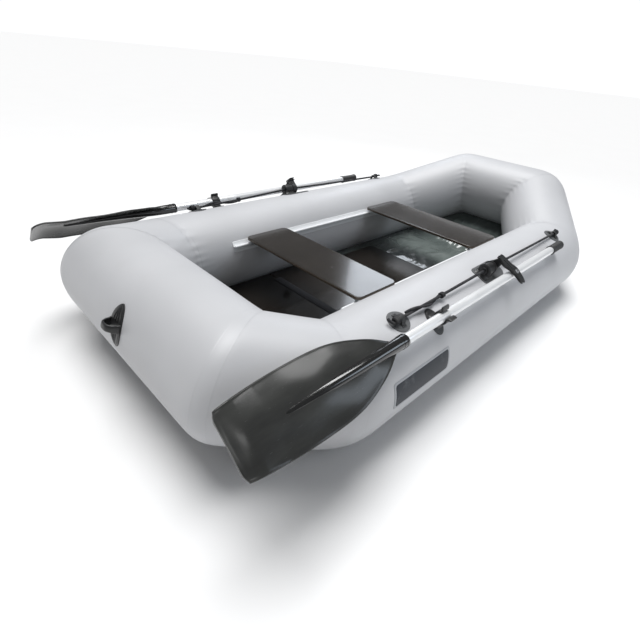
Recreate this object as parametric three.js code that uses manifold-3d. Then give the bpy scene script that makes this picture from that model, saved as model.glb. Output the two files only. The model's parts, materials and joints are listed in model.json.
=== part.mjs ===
// Two-seat inflatable rowing dinghy. Millimetres, +X to the bow, +Y to port, +Z up.
// The hull is measured from the axis of the stern tube, and the whole boat is then
// moved aft so that its origin lies under the middle of its bounding box.
import * as THREE from 'three';
import Module from 'manifold-3d';
import { mergeVertices } from 'three/addons/utils/BufferGeometryUtils.js';

const wasm = await Module();
wasm.setup();

// Buoyancy tubes: plan of the tube axes, and how far each end rises
const TUBE_R = 180;
const TUBE_SIDES = 24;
const SKIN = 1.2;
const GAP = 0.35;
const HALF_BEAM = 489;
const STERN_HALF = 350;
const STERN_CORNER = 215;
const STERN_RISE = 58;
const BOW_X = 2168;
const BOW_HALF = 230;
const BOW_TAPER = 365;
const BOW_RISE = 158;

// Bottom sheet and floorboards
const SHEET_TOP = 46;
const SHEET_THICK = 1.5;
const BOARD_Z = 47;
const BOARD_THICK = 9;
const BOARD_HALF = 354;
const FOLD_HALF = 303;
const BOARD_ENDS = [[300, 649], [652, 1001], [1004, 1352]];

// Seats and their bolt-rope rails
const SEAT_TOP = 285;
const SEAT_THICK = 12;
const SEAT_HALF = 329;
const SEATS = { aft: [504, 722], fore: [1290, 1532] };
const RAIL = { start: 440, end: 1562, beadR: 5, reach: 195, z: 258, strip: 46, thick: 2.5 };

// Oar, its rowlock and its clip, placed round the side tube by angle and distance
const SHAFT = { angle: 52.1, reach: 216.5, r: 16, wall: 1.5, aft: 300, fore: 1440 };
const GRIP = { start: 1395, end: 1511, r: 18.5 };
const BLADE = { tip: -192, tipHalf: 77, maxHalf: 93, maxAt: 45, neckAt: 318, thick: 4 };
const SOCKET = { end: 348, r: 19, point: -80, pointR: 3 };
const LOCK = { angle: 69.5, reach: 204, aft: 905, fore: 956, r: 23, bore: 13.4, rope: 6.5 };
const ARM = { x: 968, pivot: 1004, half: 7, low: 19, high: 28, tongue: -44 };
const CLIP = { x: 541, width: 34, inner: 16.6, wall: 5 };

// Rope with its two lacing eyes
const ROPE = { r: 5, aft: 424, fore: 1601, knotEnd: 632, knotR: 7, reach: 194, angle: 69.5 };
const EYE_PATCH_R = 38;

const up = new THREE.Vector3(0, 0, 1);
const vec = (x, y, z) => new THREE.Vector3(x, y, z);
const radians = THREE.MathUtils.degToRad;

const boat = new THREE.Group();

function finish(color, roughness, metalness = 0) {
  return { color, roughness, metalness };
}

const PVC = finish(0xb9bcc4, 0.5);
const PATCH_PVC = finish(0x8d9093, 0.55);
const WHITE_PVC = finish(0xe6e8ea, 0.45);
const SHEET_PVC = finish(0x5c6a64, 0.3);
const PLY = finish(0x2b2623, 0.25);
const RUBBER = finish(0x1b1c1e, 0.6);
const BLACK_PLASTIC = finish(0x17191b, 0.3);
const ALLOY = finish(0xe4e6e8, 0.3, 0.8);
const STEEL = finish(0xb8bcc0, 0.3, 1);
const CORD = finish(0x1f2023, 0.9);
const STRAP = finish(0x33363a, 0.85);
const BADGE = finish(0x3c4148, 0.4);

function solid(geometry) {
  const bare = geometry.clone();
  bare.deleteAttribute('normal');
  bare.deleteAttribute('uv');
  const merged = mergeVertices(bare, 1e-4);
  const vertProperties = new Float32Array(merged.attributes.position.array);
  const triVerts = new Uint32Array(merged.index.array);
  return new wasm.Manifold(new wasm.Mesh({ numProp: 3, vertProperties, triVerts }));
}

function surface(body) {
  const mesh = body.getMesh();
  const geometry = new THREE.BufferGeometry();
  geometry.setAttribute('position', new THREE.BufferAttribute(mesh.vertProperties, 3));
  geometry.setIndex(new THREE.BufferAttribute(mesh.triVerts, 1));
  geometry.computeVertexNormals();
  return geometry;
}

function cut(geometry, ...tools) {
  return surface(tools.reduce((body, tool) => body.subtract(solid(tool)), solid(geometry)));
}

function join(...pieces) {
  return surface(pieces.slice(1).reduce((body, piece) => body.add(solid(piece)), solid(pieces[0])));
}

function common(a, b) {
  return surface(solid(a).intersect(solid(b)));
}

function add(name, geometry, look) {
  const mesh = new THREE.Mesh(geometry, new THREE.MeshStandardMaterial(look));
  mesh.name = name;
  boat.add(mesh);
}

// The port copy of a starboard piece, with its triangles turned to face out again
function mirrored(geometry) {
  const copy = mergeVertices(geometry.clone().scale(1, -1, 1), 1e-4);
  const index = copy.index;
  for (let i = 0; i < index.count; i += 3) {
    const second = index.getX(i + 1);
    index.setX(i + 1, index.getX(i + 2));
    index.setX(i + 2, second);
  }
  copy.computeVertexNormals();
  return copy;
}

function addPair(name, geometry, look) {
  const bare = geometry.clone();
  bare.deleteAttribute('normal');
  bare.deleteAttribute('uv');
  add(`${name}_starboard`, geometry, look);
  add(`${name}_port`, mirrored(bare), look);
}

// Points of a regular polygon whose flats stand at the given distance from its centre
function polygon(apothem, sides) {
  const r = apothem / Math.cos(Math.PI / sides);
  const points = [];
  for (let i = 0; i < sides; i += 1) {
    const angle = ((i + 0.5) * 2 * Math.PI) / sides;
    points.push(new THREE.Vector2(r * Math.cos(angle), r * Math.sin(angle)));
  }
  return points;
}

// A prism, or a pipe where it has a bore, along +Z from 0
function prism(outer, bore, length, sides) {
  const shape = new THREE.Shape(polygon(outer, sides));
  if (bore > 0) shape.holes.push(new THREE.Path(polygon(bore, sides)));
  return new THREE.ExtrudeGeometry(shape, { depth: length, bevelEnabled: false });
}

function slab(points, depth) {
  const shape = new THREE.Shape(points.map(([x, y]) => new THREE.Vector2(x, y)));
  return new THREE.ExtrudeGeometry(shape, { depth, bevelEnabled: false });
}

function roundedRect(x0, x1, y0, y1, r, steps = 3) {
  const points = [];
  const corners = [[x1 - r, y1 - r, 0], [x0 + r, y1 - r, 90], [x0 + r, y0 + r, 180], [x1 - r, y0 + r, 270]];
  for (const [cx, cy, from] of corners) {
    for (let i = 0; i <= steps; i += 1) {
      const angle = radians(from + (90 * i) / steps);
      points.push([cx + r * Math.cos(angle), cy + r * Math.sin(angle)]);
    }
  }
  return points;
}

function ellipse(rx, ry, steps) {
  const points = [];
  for (let i = 0; i < steps; i += 1) {
    const angle = (2 * Math.PI * i) / steps;
    points.push([rx * Math.cos(angle), ry * Math.sin(angle)]);
  }
  return points;
}

function box(x0, x1, y0, y1, z0, z1) {
  const geometry = new THREE.BoxGeometry(x1 - x0, y1 - y0, z1 - z0);
  return geometry.translate((x0 + x1) / 2, (y0 + y1) / 2, (z0 + z1) / 2);
}

// Local X forward along the tube, Y up the slope of the tube, Z straight out of it
function perch(axisPoint, out, angle, reach) {
  const a = radians(angle);
  const n = out.clone().multiplyScalar(Math.cos(a)).addScaledVector(up, Math.sin(a));
  const slope = out.clone().multiplyScalar(-Math.sin(a)).addScaledVector(up, Math.cos(a));
  const along = slope.clone().cross(n);
  const origin = axisPoint.clone().addScaledVector(n, reach);
  return new THREE.Matrix4().makeBasis(along, slope, n).setPosition(origin);
}

// A pipe of the tube's own section, along a straight axis
function sleeve(from, to, apothem, bore) {
  const along = to.clone().sub(from);
  const length = along.length();
  along.normalize();
  const side = up.clone().cross(along).normalize();
  const frame = new THREE.Matrix4().makeBasis(side, along.clone().cross(side), along).setPosition(from);
  return prism(apothem, bore, length, TUBE_SIDES).applyMatrix4(frame);
}

// ---- Buoyancy tubes: eight straight lengths of one ring, mitred where they are glued ----

const SIDE_Z = TUBE_R;
const corners = [
  vec(0, -STERN_HALF, SIDE_Z + STERN_RISE),
  vec(STERN_CORNER, -HALF_BEAM, SIDE_Z),
  vec(BOW_X - BOW_TAPER, -HALF_BEAM, SIDE_Z),
  vec(BOW_X, -BOW_HALF, SIDE_Z + BOW_RISE),
  vec(BOW_X, BOW_HALF, SIDE_Z + BOW_RISE),
  vec(BOW_X - BOW_TAPER, HALF_BEAM, SIDE_Z),
  vec(STERN_CORNER, HALF_BEAM, SIDE_Z),
  vec(0, STERN_HALF, SIDE_Z + STERN_RISE),
];
const TUBE_NAMES = [
  'stern_corner_tube_starboard', 'side_tube_starboard', 'bow_corner_tube_starboard', 'bow_tube',
  'bow_corner_tube_port', 'side_tube_port', 'stern_corner_tube_port', 'stern_tube',
];

function direction(i) {
  return corners[(i + 1) % 8].clone().sub(corners[(i + 8) % 8]).normalize();
}

// One length of tube between two mitre planes, held back from each by half a gap. Where a
// rising length would dip below the side tubes at its mitre, it is flattened to their level.
function tube(i, apothem, bore, margin) {
  const start = corners[i];
  const end = corners[(i + 1) % 8];
  const along = direction(i);
  const length = end.distanceTo(start);
  const before = direction((i + 7) % 8).add(along).normalize();
  const after = direction((i + 1) % 8).add(along).normalize();
  const geometry = sleeve(start, end, apothem, bore);
  const position = geometry.attributes.position;
  for (let k = 0; k < position.count; k += 1) {
    const point = vec().fromBufferAttribute(position, k);
    const atEnd = point.clone().sub(start).dot(along) > length / 2;
    const plane = atEnd ? after : before;
    const mitre = atEnd ? end : start;
    const slide = mitre.clone().sub(point).dot(plane) / along.dot(plane);
    const outer = point.clone().sub(start).cross(along).length() > (apothem + bore) / 2;
    point.addScaledVector(along, slide + (atEnd ? -margin : margin));
    point.z = Math.max(point.z, SIDE_Z - (outer ? apothem : bore));
    position.setXYZ(k, point.x, point.y, point.z);
  }
  return geometry;
}

// Valves: a boss welded through the skin, a spring plunger in it and a cap over it. There is
// one for each air chamber, low on the inside of the side tubes and under the aft seat's edge.
function latheZ(points, steps) {
  return new THREE.LatheGeometry(points.map(([r, z]) => new THREE.Vector2(r, z)), steps).rotateX(Math.PI / 2);
}

const VALVE = { x: 725, flange: 21, barrel: 13, bore: 10, depth: 24, collar: 7, stem: 3 };
const VALVE_TUBES = { starboard: 1, port: 5 };

function valveFrame(i) {
  const along = direction(i);
  const inward = up.clone().cross(along);
  const origin = vec(VALVE.x, corners[i].y, SIDE_Z).addScaledVector(inward, TUBE_R);
  return new THREE.Matrix4().makeBasis(along, inward.clone().cross(along), inward).setPosition(origin);
}

function valveBody() {
  const { flange, barrel, bore, depth, collar, stem } = VALVE;
  const profile = [
    [bore, -depth], [barrel, -depth], [barrel, GAP], [flange, GAP], [flange, 2.5],
    [15, 4], [15, collar], [bore, collar], [bore, -8], [stem + 0.4, -8], [stem + 0.4, -10.5],
    [bore, -10.5], [bore, -depth],
  ];
  const air = [0, 1, 2].map((k) => {
    const hole = prism(1.8, 0, 10, 8).translate(6.7, 0, -14);
    return hole.rotateZ((k * 2 * Math.PI) / 3);
  });
  return cut(latheZ(profile, 20), ...air);
}

function valvePlunger() {
  const profile = [[0, -22], [8.5, -22], [8.5, -19.5], [3, -19.5], [3, -1.5], [6, -1.5], [6, 0.8], [0, 0.8]];
  return latheZ(profile, 16);
}

function valveCap() {
  const profile = [[0, 11.5], [19, 11.5], [19, 4.6], [15.6, 4.6], [15.6, 8.2], [0, 8.2]];
  const bar = box(-16, 16, -2.5, 2.5, 10.5, 15.5);
  return join(latheZ(profile.reverse(), 20), bar);
}

for (let i = 0; i < 8; i += 1) {
  let skin = tube(i, TUBE_R, TUBE_R - SKIN, GAP / 2);
  if (Object.values(VALVE_TUBES).includes(i)) {
    const hole = prism(VALVE.barrel + 0.6, 0, 20, 20).translate(0, 0, -10);
    skin = cut(skin, hole.applyMatrix4(valveFrame(i)));
  }
  add(TUBE_NAMES[i], skin, PVC);
}
for (const [side, i] of Object.entries(VALVE_TUBES)) {
  const frame = valveFrame(i);
  add(`valve_body_${side}`, valveBody().applyMatrix4(frame), RUBBER);
  add(`valve_plunger_${side}`, valvePlunger().applyMatrix4(frame), BLACK_PLASTIC);
  add(`valve_cap_${side}`, valveCap().applyMatrix4(frame), RUBBER);
}

// Bulkheads divide the ring into two air chambers, across the bow and stern tubes
function bulkhead(x, rise) {
  const centre = vec(x, 0, SIDE_Z + rise);
  const disc = centre.clone().setY(SKIN);
  return sleeve(centre, disc, TUBE_R - SKIN - GAP, 0);
}
add('bow_bulkhead', bulkhead(BOW_X, BOW_RISE), PVC);
add('stern_bulkhead', bulkhead(0, STERN_RISE), PVC);

// ---- Bottom sheet: flat between the side tubes, climbing with the stern and the bow ----

function bottomSheet() {
  const line = [[0, STERN_RISE], [STERN_CORNER, 0], [BOW_X - BOW_TAPER, 0], [BOW_X, BOW_RISE]];
  const top = line.map(([x, rise]) => [x, SHEET_TOP + rise]);
  const under = line.map(([x, rise]) => [x, SHEET_TOP + rise - SHEET_THICK]).reverse();
  const band = slab([...top, ...under], 2 * HALF_BEAM).rotateX(Math.PI / 2).translate(0, HALF_BEAM, 0);
  const plan = slab(corners.map((c) => [c.x, c.y]), 600);
  const tools = corners.map((_, i) => tube(i, TUBE_R + GAP, 0, -60));
  return cut(common(band, plan), ...tools);
}
add('bottom_sheet', bottomSheet(), SHEET_PVC);

// ---- Floorboards: two wedged between the tubes and a narrower one that lifts ----

function floorboard([x0, x1], half, radius) {
  return slab(roundedRect(x0, x1, -half, half, radius), BOARD_THICK).translate(0, 0, BOARD_Z);
}
add('floorboard_aft', floorboard(BOARD_ENDS[0], BOARD_HALF, 30), PLY);
add('floorboard_middle', floorboard(BOARD_ENDS[1], BOARD_HALF, 6), PLY);
add('floorboard_fore', floorboard(BOARD_ENDS[2], FOLD_HALF, 30), PLY);

const STRIP_Z = BOARD_Z + BOARD_THICK + GAP;
[['aft', 0], ['fore', 1]].forEach(([name, i]) => {
  const middle = (BOARD_ENDS[i][1] + BOARD_ENDS[i + 1][0]) / 2;
  const half = FOLD_HALF - 12;
  const strip = box(middle - 20, middle + 20, -half, half, STRIP_Z, STRIP_Z + 1);
  add(`floor_hinge_strip_${name}`, strip, STRAP);
});

// ---- Seat rails, boards and the channels that slide on the rails ----

const sideAxis = (x) => vec(x, -HALF_BEAM, SIDE_Z);
const outboard = vec(0, -1, 0);
const inboard = vec(0, 1, 0);
const railAngle = THREE.MathUtils.radToDeg(Math.asin((RAIL.z - SIDE_Z) / RAIL.reach));

// A patch that hugs the starboard side tube: a thin shell of the tube cut to an outline
function patch(points, x, out, angle, thick, lift = GAP) {
  const reach = Math.max(...points.map(([px]) => Math.abs(px))) + 5;
  const inner = TUBE_R + lift;
  const shell = sleeve(sideAxis(x - reach), sideAxis(x + reach), inner + thick, inner);
  const outline = slab(points, 90).applyMatrix4(perch(sideAxis(x), out, angle, TUBE_R - 50));
  return common(shell, outline);
}

function seatRail() {
  const middle = (RAIL.start + RAIL.end) / 2;
  const half = (RAIL.end - RAIL.start) / 2;
  const strip = patch(roundedRect(-half, half, -RAIL.strip / 2, RAIL.strip / 2, 4, 2), middle, inboard,
    railAngle, RAIL.thick);
  const frame = perch(sideAxis(middle), inboard, railAngle, RAIL.reach);
  const bead = prism(RAIL.beadR, 0, 2 * half, 10).translate(0, 0, -half).rotateY(Math.PI / 2);
  const neck = box(-half, half, -1.2, 1.2, TUBE_R + 2 - RAIL.reach, 0);
  return join(strip, bead.applyMatrix4(frame), neck.applyMatrix4(frame));
}
addPair('seat_rail', seatRail(), WHITE_PVC);

function seatChannel([x0, x1]) {
  const length = x1 - x0 - 24;
  const frame = perch(sideAxis((x0 + x1) / 2), inboard, railAngle, RAIL.reach);
  const along = (r, extra) => prism(r, 0, length + extra, 12)
    .translate(0, 0, -(length + extra) / 2).rotateY(Math.PI / 2).applyMatrix4(frame);
  const centre = vec().setFromMatrixPosition(frame);
  const plate = box(x0 + 12, x1 - 12, centre.y - 14, centre.y + 18, centre.z + 6.5,
    SEAT_TOP - SEAT_THICK - GAP);
  const slot = box(-length, length, -2.4, 2.4, -20, 0).applyMatrix4(frame);
  return cut(join(plate, along(9.3, 0)), along(RAIL.beadR + 0.5, 20), slot);
}

for (const [name, ends] of Object.entries(SEATS)) {
  const board = slab(roundedRect(ends[0], ends[1], -SEAT_HALF, SEAT_HALF, 26, 4), SEAT_THICK);
  add(`seat_${name}`, board.translate(0, 0, SEAT_TOP - SEAT_THICK), PLY);
  addPair(`seat_${name}_channel`, seatChannel(ends), ALLOY);
}

// ---- Rowlock: patch and block on the tube, a swivel turning in the block ----

const lockFrame = perch(sideAxis(0), outboard, LOCK.angle, LOCK.reach);
const shaftFrame = perch(sideAxis(0), outboard, SHAFT.angle, SHAFT.reach);

// A bar along local X of a frame, from one station to another
function bar(frame, x0, x1, r, bore = 0, sides = 16) {
  return prism(r, bore, x1 - x0, sides).rotateY(Math.PI / 2).translate(x0, 0, 0).applyMatrix4(frame);
}

const LOCK_PATCH = { x: 965, half: 78, slope: 40, thick: 2 };
const { half: lockHalf, slope: lockSlope } = LOCK_PATCH;
const lockOutline = roundedRect(-lockHalf, lockHalf, -lockSlope, lockSlope, 22, 4);
const lockPatch = patch(lockOutline, LOCK_PATCH.x, outboard, LOCK.angle, LOCK_PATCH.thick);
addPair('rowlock_patch', lockPatch, PATCH_PVC);

function rowlockBlock() {
  const foot = TUBE_R - 10 - LOCK.reach;
  const pedestal = box(LOCK.aft - 10, LOCK.fore - 4, -27, 27, foot, -8).applyMatrix4(lockFrame);
  const barrel = bar(lockFrame, LOCK.aft, LOCK.fore, LOCK.r);
  const bore = bar(lockFrame, LOCK.aft - 30, LOCK.fore + 30, LOCK.bore);
  const seat = TUBE_R + GAP + LOCK_PATCH.thick + GAP;
  const under = sleeve(sideAxis(LOCK.aft - 40), sideAxis(LOCK.fore + 40), seat, 0);
  return cut(join(barrel, pedestal), bore, under);
}
addPair('rowlock_block', rowlockBlock(), RUBBER);

// The swivel: a hollow axle in the block, a flange, a riser and an arm over the oar
function rowlockSwivel() {
  const origin = vec().setFromMatrixPosition(lockFrame);
  const local = origin.applyMatrix4(shaftFrame.clone().invert());
  const axle = bar(lockFrame, LOCK.aft - 6, ARM.x, LOCK.bore - 0.4);
  const flange = bar(lockFrame, LOCK.fore + 0.6, ARM.x + ARM.half, 20);
  const riser = box(ARM.x - ARM.half, ARM.x + ARM.half, local.y - 9, local.y + 9, local.z, ARM.high);
  const arm = slab([
    [ARM.x - ARM.half, local.y + 9], [ARM.x - ARM.half, local.y - 20], [ARM.pivot - 13, ARM.tongue + 8],
    [ARM.pivot - 6, ARM.tongue], [ARM.pivot + 6, ARM.tongue], [ARM.pivot + 13, ARM.tongue + 8],
    [ARM.pivot + 12, 12], [ARM.x + ARM.half, local.y + 9],
  ], ARM.high - ARM.low).translate(0, 0, ARM.low);
  const head = join(axle, flange, riser.applyMatrix4(shaftFrame), arm.applyMatrix4(shaftFrame));
  const rope = bar(lockFrame, LOCK.aft - 50, ARM.x + 50, LOCK.rope);
  const pin = prism(4.3, 0, 60, 12).translate(ARM.pivot, 0, 0).applyMatrix4(shaftFrame);
  return cut(head, rope, pin);
}
addPair('rowlock_swivel', rowlockSwivel(), RUBBER);

function pivotBolt() {
  const bolt = prism(4, 0, ARM.high + SHAFT.r + 5, 12).translate(0, 0, -SHAFT.r - 3);
  const head = prism(7.5, 0, 5, 6).translate(0, 0, ARM.high + GAP);
  const nut = prism(7, 0, 4.5, 6).translate(0, 0, -SHAFT.r - 5.6);
  return join(bolt, head, nut).translate(ARM.pivot, 0, 0).applyMatrix4(shaftFrame);
}
addPair('rowlock_pivot_bolt', pivotBolt(), STEEL);

// ---- Oar: alloy shaft, moulded blade with its socket and spine, rubber grip ----

function oarShaft() {
  const pipe = bar(shaftFrame, SHAFT.aft, SHAFT.fore, SHAFT.r, SHAFT.r - SHAFT.wall, 20);
  const hole = prism(4.4, 0, 60, 12).translate(ARM.pivot, 0, -30).applyMatrix4(shaftFrame);
  return cut(pipe, hole);
}
addPair('oar_shaft', oarShaft(), ALLOY);

function bladeOutline() {
  const edge = new THREE.SplineCurve([
    new THREE.Vector2(BLADE.tip + 14, BLADE.tipHalf),
    new THREE.Vector2(BLADE.maxAt, BLADE.maxHalf),
    new THREE.Vector2(170, 78),
    new THREE.Vector2(BLADE.neckAt - 64, 43),
    new THREE.Vector2(BLADE.neckAt, 8),
  ]).getPoints(14).map((p) => [p.x, p.y]);
  const corner = [[BLADE.tip, BLADE.tipHalf - 14], [BLADE.tip + 4, BLADE.tipHalf - 4]];
  const upper = [...corner, ...edge];
  const lower = upper.map(([x, y]) => [x, -y]).reverse();
  return [...upper, ...lower].reverse();
}

function oarBlade() {
  const plate = slab(bladeOutline(), BLADE.thick).translate(0, 0, -BLADE.thick / 2);
  const profile = [
    [0, SOCKET.point], [SOCKET.pointR, SOCKET.point], [SOCKET.r - 2, SHAFT.aft - 60], [SOCKET.r, SHAFT.aft],
    [SOCKET.r, SOCKET.end], [0, SOCKET.end],
  ];
  const spine = new THREE.LatheGeometry(profile.map(([r, x]) => new THREE.Vector2(r, x)), 16);
  spine.rotateZ(-Math.PI / 2);
  const bore = bar(new THREE.Matrix4(), SHAFT.aft - GAP, SOCKET.end + 5, SHAFT.r + GAP, 0, 20);
  return cut(join(plate, spine), bore).applyMatrix4(shaftFrame);
}
addPair('oar_blade', oarBlade(), BLACK_PLASTIC);

function oarGrip() {
  const closed = bar(new THREE.Matrix4(), GRIP.start, GRIP.end, GRIP.r, 0, 16);
  const bore = bar(new THREE.Matrix4(), GRIP.start - 5, SHAFT.fore + GAP, SHAFT.r + GAP, 0, 20);
  return cut(closed, bore).applyMatrix4(shaftFrame);
}
addPair('oar_grip', oarGrip(), RUBBER);

// ---- Oar clip: oval pad on the tube and two sprung arms round the shaft ----

const PAD_THICK = 3;
addPair('oar_clip_pad', patch(ellipse(28, 46, 20), CLIP.x, outboard, SHAFT.angle, PAD_THICK), RUBBER);

function clipArms() {
  const half = CLIP.width / 2;
  const outer = CLIP.inner + CLIP.wall;
  const ring = bar(shaftFrame, CLIP.x - half, CLIP.x + half, outer, CLIP.inner, 20);
  const mouth = box(CLIP.x - 50, CLIP.x + 50, -11, 11, 4, 60).applyMatrix4(shaftFrame);
  const bottom = TUBE_R - SHAFT.reach - 5;
  const stem = box(CLIP.x - half, CLIP.x + half, -14, 14, bottom, -CLIP.inner - 1).applyMatrix4(shaftFrame);
  const seat = TUBE_R + GAP + PAD_THICK + GAP;
  const under = sleeve(sideAxis(CLIP.x - 60), sideAxis(CLIP.x + 60), seat, 0);
  const oar = bar(shaftFrame, CLIP.x - 60, CLIP.x + 60, CLIP.inner, 0, 20);
  return cut(join(ring, stem), mouth, under, oar);
}
addPair('oar_clip_arms', clipArms(), RUBBER);

// ---- Rope along each side, through the swivel, tied to a lacing eye at each end ----

function lacingEye(x) {
  const flat = patch(ellipse(EYE_PATCH_R, EYE_PATCH_R, 20), x, outboard, ROPE.angle, 2);
  const frame = perch(sideAxis(0), outboard, ROPE.angle, ROPE.reach);
  const bridge = box(x - 9, x + 9, -19, 19, TUBE_R - ROPE.reach - 6, 9).applyMatrix4(frame);
  const tunnel = box(x - 30, x + 30, -8, 8, -8.5, 5.5).applyMatrix4(frame);
  const under = sleeve(sideAxis(x - 60), sideAxis(x + 60), TUBE_R + GAP + 1, 0);
  return join(flat, cut(bridge, tunnel, under));
}
addPair('lacing_eye_aft', lacingEye(ROPE.aft - 10), PATCH_PVC);
addPair('lacing_eye_fore', lacingEye(ROPE.fore + 10), PATCH_PVC);

// The rope's route, from the knot behind the aft eye to the knot ahead of the fore eye
function ropeGeometry() {
  const level = LOCK.reach;
  const low = ROPE.reach - 1.5;
  const stations = [
    [ROPE.aft - 24, low], [ROPE.aft - 8, low], [ROPE.aft + 20, low], [ROPE.knotEnd, low + 3],
    [780, low + 7.5], [LOCK.aft - 40, level - 1], [LOCK.aft, level], [ARM.x + ARM.half, level],
    [ARM.x + 50, level - 1], [1200, low + 6], [1420, low + 2.5], [ROPE.fore - 20, low], [ROPE.fore + 26, low],
  ];
  const points = stations.map(([x, reach]) => {
    return vec().setFromMatrixPosition(perch(sideAxis(x), outboard, LOCK.angle, reach));
  });
  const curve = new THREE.CatmullRomCurve3(points, false, 'centripetal');
  const round = new THREE.Shape(polygon(ROPE.r, 8));
  const rope = new THREE.ExtrudeGeometry(round, { extrudePath: curve, steps: 44, bevelEnabled: false });
  const tail = perch(sideAxis(0), outboard, ROPE.angle, low + 1.5);
  return join(rope, bar(tail, ROPE.aft + 26, ROPE.knotEnd, ROPE.knotR, 0, 8));
}
addPair('rope', ropeGeometry(), CORD);

// ---- Tow handles on the stern and bow tubes, the stern one off centre, and plain badges ----

const HANDLE = { angle: 20, long: 66, wide: 34, thick: 4, stand: 34, width: 18, offset: -35 };

function handlePatch(x, rise, out) {
  const axis = vec(x, 0, SIDE_Z + rise);
  const inner = TUBE_R + GAP;
  const shell = sleeve(axis.clone().setY(-60), axis.clone().setY(60), inner + HANDLE.thick, inner);
  const outline = slab(ellipse(HANDLE.wide, HANDLE.long, 24), 90);
  return common(shell, outline.applyMatrix4(perch(axis, out, HANDLE.angle, TUBE_R - 50)));
}

function handleLoop(x, rise, out) {
  const axis = vec(x, 0, SIDE_Z + rise);
  const frame = perch(axis, out, HANDLE.angle, TUBE_R);
  const half = HANDLE.width / 2;
  const arch = slab([
    [-30, -12], [30, -12], [25, 22], [14, HANDLE.stand], [-14, HANDLE.stand], [-25, 22],
  ], HANDLE.width);
  const hole = slab([[-19, -20], [19, -20], [16, 18], [9, 25], [-9, 25], [-16, 18]], 60);
  const stand = arch.rotateX(Math.PI / 2).translate(0, half, 0).applyMatrix4(frame);
  const gap = hole.rotateX(Math.PI / 2).translate(0, 30, 0).applyMatrix4(frame);
  const seat = TUBE_R + GAP + HANDLE.thick + GAP;
  const under = sleeve(axis.clone().setY(-60), axis.clone().setY(60), seat, 0);
  const foot = box(-30, 30, -half, half, -4, HANDLE.thick + 4).applyMatrix4(frame);
  return join(cut(stand, gap, under), cut(foot, under));
}

const sternPatch = handlePatch(0, STERN_RISE, vec(-1, 0, 0));
const sternLoop = handleLoop(0, STERN_RISE, vec(-1, 0, 0));
add('stern_handle_patch', sternPatch.translate(0, HANDLE.offset, 0), RUBBER);
add('stern_handle', sternLoop.translate(0, HANDLE.offset, 0), RUBBER);
add('bow_handle_patch', handlePatch(BOW_X, BOW_RISE, vec(1, 0, 0)), RUBBER);
add('bow_handle', handleLoop(BOW_X, BOW_RISE, vec(1, 0, 0)), RUBBER);

const BADGE_SIZE = { x: 425, half: 140, slope: 42 };
const { half: badgeHalf, slope: badgeSlope } = BADGE_SIZE;
const badgeOutline = roundedRect(-badgeHalf, badgeHalf, -badgeSlope, badgeSlope, 8, 2);
addPair('side_badge', patch(badgeOutline, BADGE_SIZE.x, outboard, 10, 1), BADGE);

// The origin lies under the middle of the bounding box, which runs from one handle to the other
boat.updateMatrixWorld(true);
boat.position.x = -new THREE.Box3().setFromObject(boat, true).getCenter(vec()).x;
const dinghy = new THREE.Group();
dinghy.add(boat);

export default dinghy;
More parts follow.
